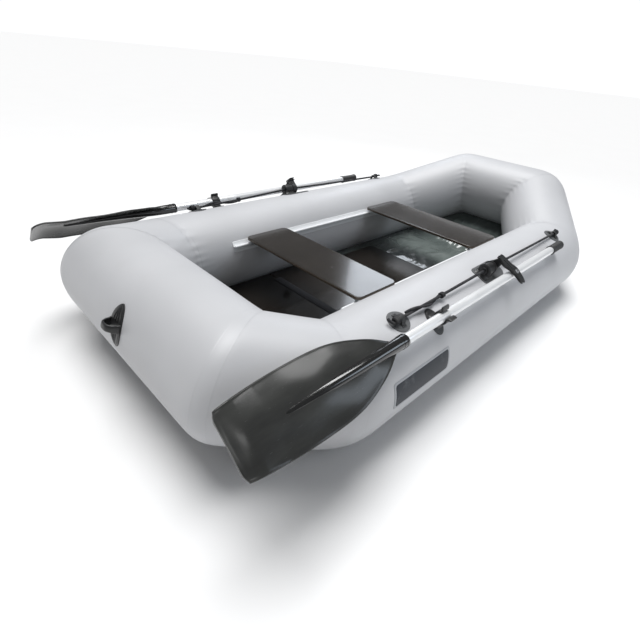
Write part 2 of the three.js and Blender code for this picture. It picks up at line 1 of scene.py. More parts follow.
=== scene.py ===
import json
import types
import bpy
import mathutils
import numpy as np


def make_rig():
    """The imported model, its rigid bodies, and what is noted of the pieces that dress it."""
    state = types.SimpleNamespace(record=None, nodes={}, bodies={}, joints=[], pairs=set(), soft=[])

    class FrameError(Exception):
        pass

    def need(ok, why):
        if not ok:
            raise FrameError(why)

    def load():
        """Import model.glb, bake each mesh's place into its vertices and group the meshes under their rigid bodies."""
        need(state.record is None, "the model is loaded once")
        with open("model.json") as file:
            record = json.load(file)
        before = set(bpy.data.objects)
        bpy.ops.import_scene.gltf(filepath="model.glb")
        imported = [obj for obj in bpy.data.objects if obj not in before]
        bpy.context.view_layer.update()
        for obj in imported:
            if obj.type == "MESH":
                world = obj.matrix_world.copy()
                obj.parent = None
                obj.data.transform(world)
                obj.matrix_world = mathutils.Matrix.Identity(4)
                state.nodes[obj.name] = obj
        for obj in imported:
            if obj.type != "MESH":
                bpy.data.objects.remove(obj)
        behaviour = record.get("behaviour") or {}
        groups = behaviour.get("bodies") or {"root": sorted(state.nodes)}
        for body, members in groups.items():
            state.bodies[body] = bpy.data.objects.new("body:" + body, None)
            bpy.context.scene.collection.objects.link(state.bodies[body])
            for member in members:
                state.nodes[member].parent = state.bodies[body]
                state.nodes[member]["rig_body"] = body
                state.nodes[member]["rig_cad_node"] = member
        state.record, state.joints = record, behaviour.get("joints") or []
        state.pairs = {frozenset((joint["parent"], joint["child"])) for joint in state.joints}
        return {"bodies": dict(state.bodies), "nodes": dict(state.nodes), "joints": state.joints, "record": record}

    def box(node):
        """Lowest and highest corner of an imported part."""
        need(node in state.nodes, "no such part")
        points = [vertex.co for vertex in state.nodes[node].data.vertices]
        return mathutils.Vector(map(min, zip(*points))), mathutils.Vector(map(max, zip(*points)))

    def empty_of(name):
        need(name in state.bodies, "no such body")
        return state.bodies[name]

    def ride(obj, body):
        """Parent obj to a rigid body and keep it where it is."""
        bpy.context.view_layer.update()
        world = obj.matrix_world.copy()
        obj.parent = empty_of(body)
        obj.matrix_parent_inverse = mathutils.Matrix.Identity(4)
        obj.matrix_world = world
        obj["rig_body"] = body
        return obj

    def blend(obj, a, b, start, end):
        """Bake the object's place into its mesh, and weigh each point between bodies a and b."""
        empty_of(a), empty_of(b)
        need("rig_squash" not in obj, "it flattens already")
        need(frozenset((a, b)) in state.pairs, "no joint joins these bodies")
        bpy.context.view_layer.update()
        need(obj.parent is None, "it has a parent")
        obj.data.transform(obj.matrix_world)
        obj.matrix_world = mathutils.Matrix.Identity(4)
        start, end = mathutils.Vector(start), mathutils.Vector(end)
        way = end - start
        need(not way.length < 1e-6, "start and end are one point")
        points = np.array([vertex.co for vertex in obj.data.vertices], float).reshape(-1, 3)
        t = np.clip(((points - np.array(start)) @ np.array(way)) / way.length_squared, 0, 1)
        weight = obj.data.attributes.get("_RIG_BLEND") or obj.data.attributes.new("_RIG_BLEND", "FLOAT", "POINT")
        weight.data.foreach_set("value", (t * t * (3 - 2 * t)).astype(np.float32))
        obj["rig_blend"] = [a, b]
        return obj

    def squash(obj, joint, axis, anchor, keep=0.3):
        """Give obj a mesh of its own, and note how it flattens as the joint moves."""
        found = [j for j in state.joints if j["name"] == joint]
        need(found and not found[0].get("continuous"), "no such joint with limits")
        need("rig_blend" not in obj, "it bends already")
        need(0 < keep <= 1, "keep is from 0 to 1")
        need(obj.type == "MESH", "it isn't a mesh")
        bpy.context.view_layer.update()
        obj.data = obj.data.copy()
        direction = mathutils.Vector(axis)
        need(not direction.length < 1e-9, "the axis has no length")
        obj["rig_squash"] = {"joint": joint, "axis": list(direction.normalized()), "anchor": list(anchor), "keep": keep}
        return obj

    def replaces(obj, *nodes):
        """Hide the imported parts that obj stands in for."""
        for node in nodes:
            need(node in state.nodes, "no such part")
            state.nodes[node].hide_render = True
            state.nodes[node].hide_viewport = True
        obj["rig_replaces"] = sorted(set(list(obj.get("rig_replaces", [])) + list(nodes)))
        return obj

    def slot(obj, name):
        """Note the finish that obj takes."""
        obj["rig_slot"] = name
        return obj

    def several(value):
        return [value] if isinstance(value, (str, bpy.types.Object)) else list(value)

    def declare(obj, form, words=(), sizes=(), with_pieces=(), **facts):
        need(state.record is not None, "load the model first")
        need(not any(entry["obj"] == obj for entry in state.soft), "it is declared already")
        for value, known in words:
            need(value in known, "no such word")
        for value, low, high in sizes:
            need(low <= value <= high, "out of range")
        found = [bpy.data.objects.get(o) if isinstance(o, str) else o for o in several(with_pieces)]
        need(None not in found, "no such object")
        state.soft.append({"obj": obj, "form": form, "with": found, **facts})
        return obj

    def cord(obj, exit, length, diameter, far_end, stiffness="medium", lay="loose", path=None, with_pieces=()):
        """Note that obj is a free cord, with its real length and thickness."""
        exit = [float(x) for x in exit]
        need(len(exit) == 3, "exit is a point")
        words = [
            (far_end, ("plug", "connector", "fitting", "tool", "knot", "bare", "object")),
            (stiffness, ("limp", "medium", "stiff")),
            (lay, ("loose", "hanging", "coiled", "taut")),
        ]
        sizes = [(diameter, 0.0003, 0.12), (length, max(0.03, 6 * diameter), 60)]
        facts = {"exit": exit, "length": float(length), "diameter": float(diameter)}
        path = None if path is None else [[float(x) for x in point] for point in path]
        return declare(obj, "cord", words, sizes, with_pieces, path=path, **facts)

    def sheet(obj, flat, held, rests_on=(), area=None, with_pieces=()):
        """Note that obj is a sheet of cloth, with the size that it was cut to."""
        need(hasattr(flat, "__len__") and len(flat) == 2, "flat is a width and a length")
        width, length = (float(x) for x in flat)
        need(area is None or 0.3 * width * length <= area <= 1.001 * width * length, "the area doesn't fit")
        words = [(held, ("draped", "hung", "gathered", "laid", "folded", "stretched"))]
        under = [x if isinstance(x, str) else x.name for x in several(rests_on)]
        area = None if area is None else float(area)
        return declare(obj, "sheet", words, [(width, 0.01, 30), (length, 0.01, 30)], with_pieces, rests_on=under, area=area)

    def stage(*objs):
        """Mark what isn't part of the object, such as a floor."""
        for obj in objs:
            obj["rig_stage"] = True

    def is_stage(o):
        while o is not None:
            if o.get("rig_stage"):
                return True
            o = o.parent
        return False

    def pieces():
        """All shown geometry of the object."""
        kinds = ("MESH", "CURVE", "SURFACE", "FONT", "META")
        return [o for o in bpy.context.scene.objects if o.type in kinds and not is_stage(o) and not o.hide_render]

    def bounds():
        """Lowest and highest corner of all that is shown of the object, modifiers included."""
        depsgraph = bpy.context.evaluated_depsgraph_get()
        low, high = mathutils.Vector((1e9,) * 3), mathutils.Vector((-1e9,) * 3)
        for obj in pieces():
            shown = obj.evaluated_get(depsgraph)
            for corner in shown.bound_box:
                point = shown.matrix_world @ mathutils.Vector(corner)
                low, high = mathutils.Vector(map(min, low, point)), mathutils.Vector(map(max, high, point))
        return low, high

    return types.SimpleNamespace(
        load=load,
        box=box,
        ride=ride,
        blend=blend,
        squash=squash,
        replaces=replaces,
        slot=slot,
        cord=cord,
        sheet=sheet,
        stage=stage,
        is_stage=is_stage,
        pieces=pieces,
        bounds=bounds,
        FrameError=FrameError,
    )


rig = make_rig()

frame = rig.load()
import json
from math import cos, degrees, pi, radians, sin

import bmesh
import bpy
import numpy as np
from mathutils import Matrix, Vector, noise

cad_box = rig.bounds()

# CAMERA. It stands off the starboard quarter at the height of someone sitting down, and looks
# forward and to port across the stern, slightly rolled, through a short lens.
TUBE_R = 0.180
STERN_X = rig.box("stern_tube")[0].x + TUBE_R
camera_data = bpy.data.cameras.new("camera")
camera = bpy.data.objects.new("camera", camera_data)
bpy.context.collection.objects.link(camera)
bpy.context.scene.camera = camera
camera_data.sensor_width = 36
camera_data.lens = 23.0
camera_data.shift_x = -0.0254
camera_data.shift_y = -0.0028
camera_data.clip_start = 0.02
HEADING, TILT, ROLL = radians(41.32), radians(-32.57), radians(6.06)
BEHIND_STERN, TO_STARBOARD, EYE_HEIGHT = 0.448, 1.0726, 0.9692
stand_at = Matrix.Translation((STERN_X - BEHIND_STERN, -TO_STARBOARD, EYE_HEIGHT))
turn = Matrix.Rotation(HEADING - pi / 2, 4, "Z") @ Matrix.Rotation(pi / 2 + TILT, 4, "X")
camera.matrix_world = stand_at @ turn @ Matrix.Rotation(ROLL, 4, "Z")


# ROPES. One 10 mm braided line along the top of each side tube, held taut between two lacing
# eyes. It runs through the hollow axle of the rowlock, and its after end is doubled back
# and laid round the standing part.
class Socket:
    """An output in the material being made. Sums on it add Math nodes to that material."""

    tree = None

    def __init__(self, output):
        self.output = output

    @classmethod
    def node(cls, kind, settings=(), inputs=(), out=0):
        made = cls.tree.nodes.new(kind)
        for key, value in dict(settings).items():
            if key == "stops":
                for stop, (position, color) in zip(cls.ramp_stops(made, len(value)), value):
                    stop.position, stop.color = position, (*color, 1)
            else:
                setattr(made, key, value)
        for key, value in dict(inputs).items():
            if isinstance(value, cls):
                cls.tree.links.new(value.output, made.inputs[key])
            else:
                made.inputs[key].default_value = value
        return cls(made.outputs[out])

    @staticmethod
    def ramp_stops(made, count):
        while len(made.color_ramp.elements) < count:
            made.color_ramp.elements.new(0.5)
        return made.color_ramp.elements

    def math(self, operation, other=0.0, third=0.0):
        return Socket.node("ShaderNodeMath", {"operation": operation}, {0: self, 1: other, 2: third})

    def __add__(self, other):
        return self.math("ADD", other)

    def __mul__(self, other):
        return self.math("MULTIPLY", other)

    __radd__, __rmul__ = __add__, __mul__

    def __sub__(self, other):
        return self.math("SUBTRACT", other)

    def __rsub__(self, other):
        return self.math("MULTIPLY_ADD", -1.0, other)

    def band(self, low, high):
        """0 below low, 1 above high, smooth between."""
        settings = {"interpolation_type": "SMOOTHSTEP"}
        return Socket.node("ShaderNodeMapRange", settings, {0: self, 1: low, 2: high})

    def waves(self, per_metre, phase=0.0):
        return (self * (2 * pi * per_metre) + phase).math("SINE")


def position():
    return Socket.node("ShaderNodeTexCoord", out="Object")


def axes():
    split = Socket.node("ShaderNodeSeparateXYZ", inputs={0: position()})
    return [Socket(split.output.node.outputs[i]) for i in range(3)]


def stretched(x, y, z):
    return Socket.node("ShaderNodeVectorMath", {"operation": "MULTIPLY"}, {0: position(), 1: (x, y, z)})


def speckle(scale, detail=3.0, rough=0.5, where=None):
    inputs = {"Scale": scale, "Detail": detail, "Roughness": rough}
    inputs["Vector"] = where or position()
    return Socket.node("ShaderNodeTexNoise", inputs=inputs)


def cells(scale):
    return Socket.node("ShaderNodeTexVoronoi", inputs={"Scale": scale, "Vector": position()})


def mix(amount, first, second):
    inputs = {0: amount}
    for slot, color in ((6, first), (7, second)):
        inputs[slot] = color if isinstance(color, Socket) else (*color, 1)
    return Socket.node("ShaderNodeMix", {"data_type": "RGBA"}, inputs, out=2)


def bump(height, depth, strength=1.0, under=None):
    """A Bump node for a height of 0 to 1 that stands depth metres proud."""
    inputs = {"Height": height, "Distance": depth, "Strength": strength}
    if under:
        inputs["Normal"] = under
    return Socket.node("ShaderNodeBump", inputs=inputs)


def material(name, build, **constants):
    """A material whose shader takes its constants here and its varying inputs from build."""
    made = bpy.data.materials.new(name)
    made.use_nodes = True
    Socket.tree = made.node_tree
    shader = made.node_tree.nodes["Principled BSDF"]
    for key, value in constants.items():
        shader.inputs[key.replace("_", " ")].default_value = value
    for key, value in build().items():
        if isinstance(value, Socket):
            made.node_tree.links.new(value.output, shader.inputs[key])
        else:
            shader.inputs[key].default_value = value
    return made


SIDES = {"starboard": -1, "port": 1}
SHARP_EDGE = radians(38)
HALF_BEAM = -(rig.box("side_tube_starboard")[0].y + TUBE_R)


def piece(name, points, faces, look, body, nodes=(), slot=None):
    """One finished piece that rides on a body and stands for the CAD nodes named."""
    mesh = bpy.data.meshes.new(name)
    corners = [tuple(p) for p in np.asarray(points, float)]
    mesh.from_pydata(corners, [], [tuple(map(int, f)) for f in faces])
    mesh.polygons.foreach_set("use_smooth", [True] * len(mesh.polygons))
    mesh.set_sharp_from_angle(angle=SHARP_EDGE)
    mesh.materials.append(look)
    made = bpy.data.objects.new(name, mesh)
    bpy.context.collection.objects.link(made)
    if body:
        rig.ride(made, body)
    if nodes:
        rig.replaces(made, *nodes)
    if slot:
        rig.slot(made, slot)
    return made


def pair(name, points, faces, look, body, node=None, slot=None):
    """The starboard piece and its mirror image to port. {} in a name becomes the side."""
    made = {}
    for side, sign in SIDES.items():
        placed = np.array(points, float) * (1, -sign, 1)
        facing = faces if sign < 0 else [f[::-1] for f in faces]
        nodes = [node.format(side)] if node else []
        made[side] = piece(name.format(side), placed, facing, look, body.format(side), nodes, slot)
    return made


def on_tube(points, angle):
    """Bend (along, up the slope, out) points round the starboard tube, from an angle on it."""
    x, slope, out = np.asarray(points, float).T
    a = radians(angle) + slope / TUBE_R
    reach = TUBE_R + out
    return np.stack([x + STERN_X, -HALF_BEAM - reach * np.cos(a), TUBE_R + reach * np.sin(a)], 1)


def off_tube(points, angle, reach):
    """Stand rigid (along, up the slope, out) points off the starboard tube."""
    x, slope, out = np.asarray(points, float).T
    c, s = cos(radians(angle)), sin(radians(angle))
    out = out + reach
    return np.stack([x + STERN_X, -HALF_BEAM - out * c + slope * s, TUBE_R + out * s + slope * c], 1)


def grid_faces(rows, columns, close_rows=False, close_columns=True):
    faces = []
    for i in range(rows if close_rows else rows - 1):
        for j in range(columns if close_columns else columns - 1):
            k, m = (i + 1) % rows, (j + 1) % columns
            faces.append((i * columns + j, i * columns + m, k * columns + m, k * columns + j))
    return faces


def loft(rings):
    """A skin over rings that all have the same number of points, with a fan over each end."""
    rings = np.asarray(rings, float)
    rows, columns = rings.shape[:2]
    points = rings.reshape(-1, 3)
    faces = grid_faces(rows, columns)
    for row, order in ((0, -1), (rows - 1, 1)):
        points = np.vstack([points, rings[row].mean(0)])
        hub = len(points) - 1
        edge = [row * columns + j for j in range(columns)]
        for a, b in zip(edge, edge[1:] + edge[:1]):
            faces.append((hub, a, b) if order > 0 else (hub, b, a))
    return points, faces


def merged(*parts):
    points, faces, base = [], [], 0
    for some_points, some_faces in parts:
        points.append(np.asarray(some_points, float))
        faces += [tuple(i + base for i in f) for f in some_faces]
        base += len(some_points)
    return np.vstack(points), faces


def circle(count, radius=1.0, phase=0.0):
    a = np.arange(count) * 2 * pi / count + phase
    return np.stack([np.cos(a) * radius, np.sin(a) * radius], 1)


def path_length(line):
    """How far along a line each of its points is."""
    return np.concatenate([[0], np.cumsum(np.linalg.norm(np.diff(line, axis=0), axis=1))])


def directions(line):
    ahead = np.gradient(line, axis=0)
    return ahead / np.linalg.norm(ahead, axis=1)[:, None]


def smooth_line(controls, step):
    """Points a step apart along a smooth curve through the controls, ends included."""
    controls = np.asarray(controls, float)
    padded = np.vstack([2 * controls[0] - controls[1], controls, 2 * controls[-1] - controls[-2]])
    line = []
    for p0, p1, p2, p3 in zip(padded, padded[1:], padded[2:], padded[3:]):
        for t in np.linspace(0, 1, 24, endpoint=False):
            line.append(0.5 * (2 * p1 + (p2 - p0) * t + (2 * p0 - 5 * p1 + 4 * p2 - p3) * t**2
                               + (3 * p1 - p0 - 3 * p2 + p3) * t**3))
    line = np.array(line + [controls[-1]])
    run = path_length(line)
    stations = np.linspace(0, run[-1], max(2, int(round(run[-1] / step)) + 1))
    return np.stack([np.interp(stations, run, line[:, k]) for k in range(3)], 1)


def sweep(line, section):
    """Rings of a section (ring index to 2-D points) carried along a line without rolling."""
    line = np.asarray(line, float)
    tangents = directions(line)
    side = np.cross(tangents[0], (0, 0, 1) if abs(tangents[0][2]) < 0.9 else (1, 0, 0))
    rings = []
    for i, (point, tangent) in enumerate(zip(line, tangents)):
        side = side - side.dot(tangent) * tangent
        side /= np.linalg.norm(side)
        up = np.cross(side, tangent)
        flat = section(i)
        rings.append(point + flat[:, :1] * side + flat[:, 1:] * up)
    return rings


def rope_look():
    strand = speckle(900, 2)
    dust = speckle(40, 4).band(0.45, 0.75)
    color = mix(strand.band(0.3, 0.75), (0.012, 0.012, 0.014), (0.05, 0.051, 0.056))
    return {
        "Base Color": mix(dust * 0.5, color, (0.09, 0.09, 0.088)),
        "Roughness": 0.78 + strand * 0.15,
        "Normal": bump(strand, 0.0004),
    }


ROPE = material("braided_rope", rope_look, Specular_IOR_Level=0.3)
ROPE_R = 0.005
ROPE_ANGLE = 69.5
EYE_AFT, EYE_FORE = 0.414, 1.611
AFT_KNOT, FORE_KNOT = 0.402, 1.622
TAIL_AFT, TAIL_FORE, TAIL_TURNS = 0.446, 0.626, 0.9
LOCK_REACH = 0.204
ROPE_LOW = 0.1925
ROPE_STATIONS = [
    (0.400, ROPE_LOW), (0.416, ROPE_LOW), (0.444, ROPE_LOW), (0.632, ROPE_LOW + 0.003),
    (0.780, ROPE_LOW + 0.0075), (0.865, LOCK_REACH - 0.001), (0.905, LOCK_REACH), (0.975, LOCK_REACH),
    (1.018, LOCK_REACH - 0.001), (1.200, ROPE_LOW + 0.006), (1.420, ROPE_LOW + 0.0025),
    (1.581, ROPE_LOW), (1.627, ROPE_LOW),
]


def braided(line, radius, plaits=8, pitch=0.016):
    """A round braid: strands cross over and under each other in two directions."""
    run = path_length(line)
    around = circle(32)
    angle = np.arctan2(around[:, 1], around[:, 0])

    def section(i):
        turn = run[i] * 2 * pi / pitch
        over = np.cos(plaits / 2 * (angle + turn / 2)) * np.cos(plaits / 2 * (angle - turn / 2))
        return around * (radius * (0.93 + 0.07 * over))[:, None]

    return loft(sweep(line, section))


controls = [off_tube([(x, 0, 0)], ROPE_ANGLE, reach)[0] for x, reach in ROPE_STATIONS]
line = smooth_line(controls, 0.0011)
rope_length = float(path_length(line)[-1])
ropes = pair("side_line_{}", *braided(line, ROPE_R), ROPE, "hull", "rope_{}", "rope_cord")


def doubled_tail():
    """The end of the line brought back and laid round the standing part, then knotted off."""
    steps = np.linspace(0, 1, 150)
    spread = 0.0080 - 0.0006 * steps
    angle = steps * 2 * pi * TAIL_TURNS
    coil = np.stack([TAIL_AFT + (TAIL_FORE - TAIL_AFT) * steps, spread * np.cos(angle),
                     0.0005 + 0.00288 * steps + spread * np.sin(angle)], 1)
    parts = [braided(off_tube(coil, ROPE_ANGLE, ROPE_LOW), ROPE_R * 0.86, pitch=0.014)]
    steps = np.linspace(0, 1, 70)
    knot = np.stack([TAIL_FORE - 0.004 + 0.014 * steps, 0.0072 * np.cos(steps * 5 * pi),
                     0.0033 + 0.0072 * np.sin(steps * 5 * pi)], 1)
    parts.append(loft(sweep(off_tube(knot, ROPE_ANGLE, ROPE_LOW), lambda i: circle(10, 0.0032))))
    return merged(*parts)


def end_knot(x, way):
    """A figure of turns drawn up against the eye, with the cut end standing out of it."""
    turns, coil_r = 2.6, 0.0080
    steps = np.linspace(0, 1, 120)
    angle = steps * 2 * pi * turns
    coil = np.stack([x + way * (0.001 + 0.016 * steps), coil_r * np.cos(angle),
                     0.0015 + coil_r * np.sin(angle)], 1)
    cut_end = [(0, 0, 0), (0.008, 0.004, 0.004), (0.014, 0.012, 0.006), (0.012, 0.022, 0.004)]
    tail = smooth_line([coil[-1] + (way * dx, dy, dz) for dx, dy, dz in cut_end], 0.0015)
    route = np.vstack([coil, tail[1:]])
    return loft(sweep(off_tube(route, ROPE_ANGLE, ROPE_LOW), lambda i: circle(12, 0.0045)))


tails = pair("rope_tail_{}", *doubled_tail(), ROPE, "hull", None, "rope_cord")
both_knots = merged(end_knot(AFT_KNOT, -1), end_knot(FORE_KNOT, 1))
knots = pair("rope_knots_{}", *both_knots, ROPE, "hull", None, "rope_cord")
for side, sign in SIDES.items():
    path = line * (1, -sign, 1)
    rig.cord(ropes[side], exit=path[0], length=rope_length, diameter=2 * ROPE_R, far_end="object",
            stiffness="limp", lay="taut", path=path[::6].tolist() + [path[-1].tolist()],
            with_pieces=[tails[side], knots[side]])


# HULL SKIN. One inflated ring of PVC-coated fabric, cut in eight lengths that are mitred and
# glued. It is tight everywhere but at the inner corners, where the cloth puckers, and each
# mitre is covered with a band of the same cloth.
def pvc_look(tint):
    def build():
        grain = cells(1500)
        weave = speckle(650, 2)
        cloud = speckle(3.0, 3)
        soiling = speckle(14, 5, 0.6).band(0.52, 0.78)
        height = grain * 0.6 + weave * 0.4
        dark = tuple(c * 0.93 for c in tint)
        grey = (0.46, 0.455, 0.44)
        return {
            "Base Color": mix(soiling * 0.1, mix(cloud.band(0.3, 0.7), dark, tint), grey),
            "Roughness": 0.40 + cloud * 0.1 + weave * 0.05,
            "Normal": bump(height, 0.00025, 0.35, bump(speckle(28, 2), 0.0008, 0.25)),
        }
    return build


HULL_TINT = (0.512, 0.518, 0.535)
HULL, TAPE = (material(name, pvc_look(HULL_TINT), Coat_Weight=0.12, Coat_Roughness=0.35)
              for name in ("hull_pvc", "seam_tape_pvc"))
STERN_HALF, STERN_CORNER, STERN_RISE = 0.350, 0.215, 0.058
BOW_LENGTH, BOW_HALF, BOW_TAPER, BOW_RISE = 2.168, 0.230, 0.365, 0.158
AROUND = 160
NEAR_SEAM = np.array([0, 4, 8, 12, 16, 22, 29, 37, 46, 56, 67, 79, 92, 106]) / 1000


def hull_corners():
    starboard = [(0, -STERN_HALF, STERN_RISE), (STERN_CORNER, -HALF_BEAM, 0),
                 (BOW_LENGTH - BOW_TAPER, -HALF_BEAM, 0), (BOW_LENGTH, -BOW_HALF, BOW_RISE)]
    port = [(x, -y, z) for x, y, z in reversed(starboard)]
    return np.array([(x + STERN_X, y, z + TUBE_R) for x, y, z in starboard + port])


def unit(v):
    return v / np.linalg.norm(v)


CORNERS = hull_corners()
RUNS = [unit(CORNERS[(i + 1) % 8] - CORNERS[i]) for i in range(8)]
MITRES = [unit(RUNS[i - 1] + RUNS[i]) for i in range(8)]


def hull_frames():
    """Inboard and upward vectors of each length, carried round the ring through the mitres."""
    inboard = np.cross((0, 0, 1), RUNS[7])
    frames = {7: (unit(inboard), np.cross(RUNS[7], unit(inboard)))}
    for i in range(7):
        inboard, rise = frames[(i + 7) % 8]
        plane = MITRES[i]
        inboard, rise = inboard - 2 * inboard.dot(plane) * plane, rise - 2 * rise.dot(plane) * plane
        frames[i] = (inboard, rise)
    return frames


FRAMES = hull_frames()
PUCKERS, PUCKER_DEEP, WANDER_DEEP = 34, 0.0009, 0.0012
ROUNDING = np.array([0.050, 0.085, 0.095, 0.110, 0.110, 0.095, 0.085, 0.050])


def hull_ring(i, along):
    """A ring of the skin on length i, at a share of the way between its two mitres."""
    inboard, rise = FRAMES[i]
    a = np.arange(AROUND) * 2 * pi / AROUND
    spokes = np.cos(a)[:, None] * inboard + np.sin(a)[:, None] * rise
    foot = CORNERS[i] + spokes * TUBE_R
    after = (i + 1) % 8
    first = ((CORNERS[i] - foot) @ MITRES[i]) / RUNS[i].dot(MITRES[i])
    last = ((CORNERS[after] - foot) @ MITRES[after]) / RUNS[i].dot(MITRES[after])
    run = first * (1 - along) + last * along
    place = foot + run[:, None] * RUNS[i]
    near = 0 if along < 0.5 else 1
    corner = (i, after)[near]
    mitre = foot + (first, last)[near][:, None] * RUNS[i]
    gap = np.abs(run - (first, last)[near])
    ease = np.clip(0.55 - 0.62 * np.cos(a), 0.06, 1) * ROUNDING[corner]
    t = np.clip(0.5 + gap / (2 * ease), 0, 1)[:, None]
    behind = -RUNS[i - 1] if near == 0 else RUNS[after]
    ahead = RUNS[i] if near == 0 else -RUNS[i]
    reach = ease[:, None]
    curve = mitre + (1 - t) ** 2 * reach * behind + t ** 2 * reach * ahead
    place = np.where(gap[:, None] < reach, curve, place)
    inner = np.clip(np.cos(a) * 1.4 - 0.1, 0, 1)
    pucker = np.sin(a * PUCKERS + 2.2 * np.sin(a * 5 + corner)) * np.exp(-(gap / 0.035) ** 2) * inner
    wander = np.array([noise.noise(Vector(p) * 5.5) for p in place[::4]]).repeat(4)
    wander = np.convolve(np.tile(wander, 3), np.ones(9) / 9, "same")[AROUND:2 * AROUND]
    return place - spokes * (PUCKER_DEEP * pucker + WANDER_DEEP * np.abs(wander))[:, None]


def ring_shares(i):
    length = float(np.linalg.norm(CORNERS[(i + 1) % 8] - CORNERS[i]))
    near = NEAR_SEAM / length
    near = near[near < 0.42]
    count = max(2, int((1 - 2 * near[-1]) * length / 0.030))
    middle = np.linspace(near[-1], 1 - near[-1], count + 1)[1:-1]
    return np.concatenate([near, middle, 1 - near[::-1]])


def hull_rings():
    rings = [hull_ring(i, share) for i in range(8) for share in ring_shares(i)[:-1]]
    rings = np.array(rings)
    for _ in range(3):
        rings = 0.5 * rings + 0.25 * (np.roll(rings, 1, 0) + np.roll(rings, -1, 0))
    return rings


rings = hull_rings()
rings[..., 2] = np.maximum(rings[..., 2], 0.0)
hull_faces = [f[::-1] for f in grid_faces(len(rings), AROUND, close_rows=True)]
TUBES = [n for n in frame["nodes"] if n.endswith("_tube") or "_tube_" in n]
hull = piece("hull_skin", rings.reshape(-1, 3), hull_faces, HULL, "hull", TUBES, "hull_pvc")


def ring_normals(rows):
    across = np.roll(rows, -1, 1) - np.roll(rows, 1, 1)
    along = np.roll(rows, -1, 0) - np.roll(rows, 1, 0)
    out = np.cross(along, across)
    return out / np.linalg.norm(out, axis=2)[..., None]


# SEAM TAPES. A 32 mm band of the hull cloth is glued over each mitre, all the way round the
# tube, so that it covers and seals the edges of the two lengths.
TAPE_PROUD = 0.0003
TAPE_TUCKED = -0.0004
seam_rows = np.cumsum([0] + [len(ring_shares(i)) - 1 for i in range(8)])[:8]
hull_normals = ring_normals(rings)
lift = np.array([TAPE_TUCKED] + [TAPE_PROUD] * 7 + [TAPE_TUCKED])
tape_parts = []
for row in seam_rows:
    band = [(row + k) % len(rings) for k in range(-4, 5)]
    skin = rings[band] + hull_normals[band] * lift[:, None, None]
    tape_parts.append((skin.reshape(-1, 3), [f[::-1] for f in grid_faces(len(band), AROUND)]))
piece("seam_tapes", *merged(*tape_parts), TAPE, "hull", (), "hull_pvc")


# AIR BULKHEADS. A disc of the same cloth inside the bow and stern tubes parts the ring into
# two air chambers, port and starboard.
def carry_over(names, look):
    for name in names:
        node = frame["nodes"][name]
        node.data.materials.clear()
        node.data.materials.append(look)


INNER = material("inner_pvc", pvc_look((0.5, 0.51, 0.55)))
carry_over(["bow_bulkhead", "stern_bulkhead"], INNER)


# BOTTOM SHEET. One sheet of heavier glossy cloth, glued round its edge to the underside of
# the ring. It is stretched flat under the boards and creased where nothing lies on it.
SHEET_TOP = 0.046
SHEET_THICK = 0.0015
CREASE_HIGH, CREASE_FINE = 0.0075, 0.0022
FLOOR_FORE = 1.352


def rise_at(x):
    return np.interp(x - STERN_X, [0, STERN_CORNER, BOW_LENGTH - BOW_TAPER, BOW_LENGTH],
                     [STERN_RISE, 0, 0, BOW_RISE])


def inside_ring(x, y, z):
    """How far a point stands from the nearest tube's surface."""
    point = np.stack(np.broadcast_arrays(x, y, z), -1)
    nearest = np.full(point.shape[:-1], 9.0)
    for i in range(8):
        a, b = CORNERS[i], CORNERS[(i + 1) % 8]
        share = np.clip(((point - a) @ (b - a)) / (b - a).dot(b - a), 0, 1)
        gap = np.linalg.norm(point - a - share[..., None] * (b - a), axis=-1)
        nearest = np.minimum(nearest, gap)
    return nearest - TUBE_R


def creases(x, y):
    height = np.zeros(x.shape)
    for k in np.ndindex(x.shape):
        px, py = x[k] - STERN_X, y[k]
        warp = noise.noise(Vector((px * 4, py * 4, 3.0)))
        fold = noise.noise(Vector((px * 5.5 + 1.2 * warp, py * 13 + 2.0 * warp, 0.0)))
        fine = noise.noise(Vector((px * 17 + py * 9, py * 26 - px * 6, 7.0)))
        height[k] = (1 - 2.2 * abs(fold)) * CREASE_HIGH + fine * CREASE_FINE
    return height


def bottom_sheet():
    xs = np.arange(0.02, BOW_LENGTH, 0.001) + STERN_X
    clear = xs[inside_ring(xs, 0.0, rise_at(xs) + SHEET_TOP) > -0.002]
    xs = np.linspace(clear[0], clear[-1], 260)
    trial = np.arange(0, HALF_BEAM, 0.0005)
    gaps = inside_ring(xs[:, None], trial[None, :], (rise_at(xs) + SHEET_TOP)[:, None])
    half = np.array([trial[np.argmax(row < -0.004)] for row in gaps[1:-1]])
    half = np.concatenate([half[:1], half, half[-1:]])
    share = np.linspace(-1, 1, 121)
    x, y = np.broadcast_arrays(xs[:, None], half[:, None] * share[None, :])
    flat = np.stack([x, y, np.broadcast_to((rise_at(xs) + SHEET_TOP)[:, None], x.shape)], -1)
    slack = np.clip((x - STERN_X - FLOOR_FORE) / 0.05, 0, 1) * np.clip((xs[-1] - x) / 0.12, 0, 1)
    slack = slack * np.clip((1 - np.abs(share[None, :])) / 0.12, 0, 1)
    top = flat + np.stack([0 * x, 0 * x, creases(x, y) * slack], -1)
    return flat, top


def surface_area(grid):
    side = np.cross(grid[1:, :-1] - grid[:-1, :-1], grid[:-1, 1:] - grid[:-1, :-1])
    return float(np.linalg.norm(side, axis=2).sum())


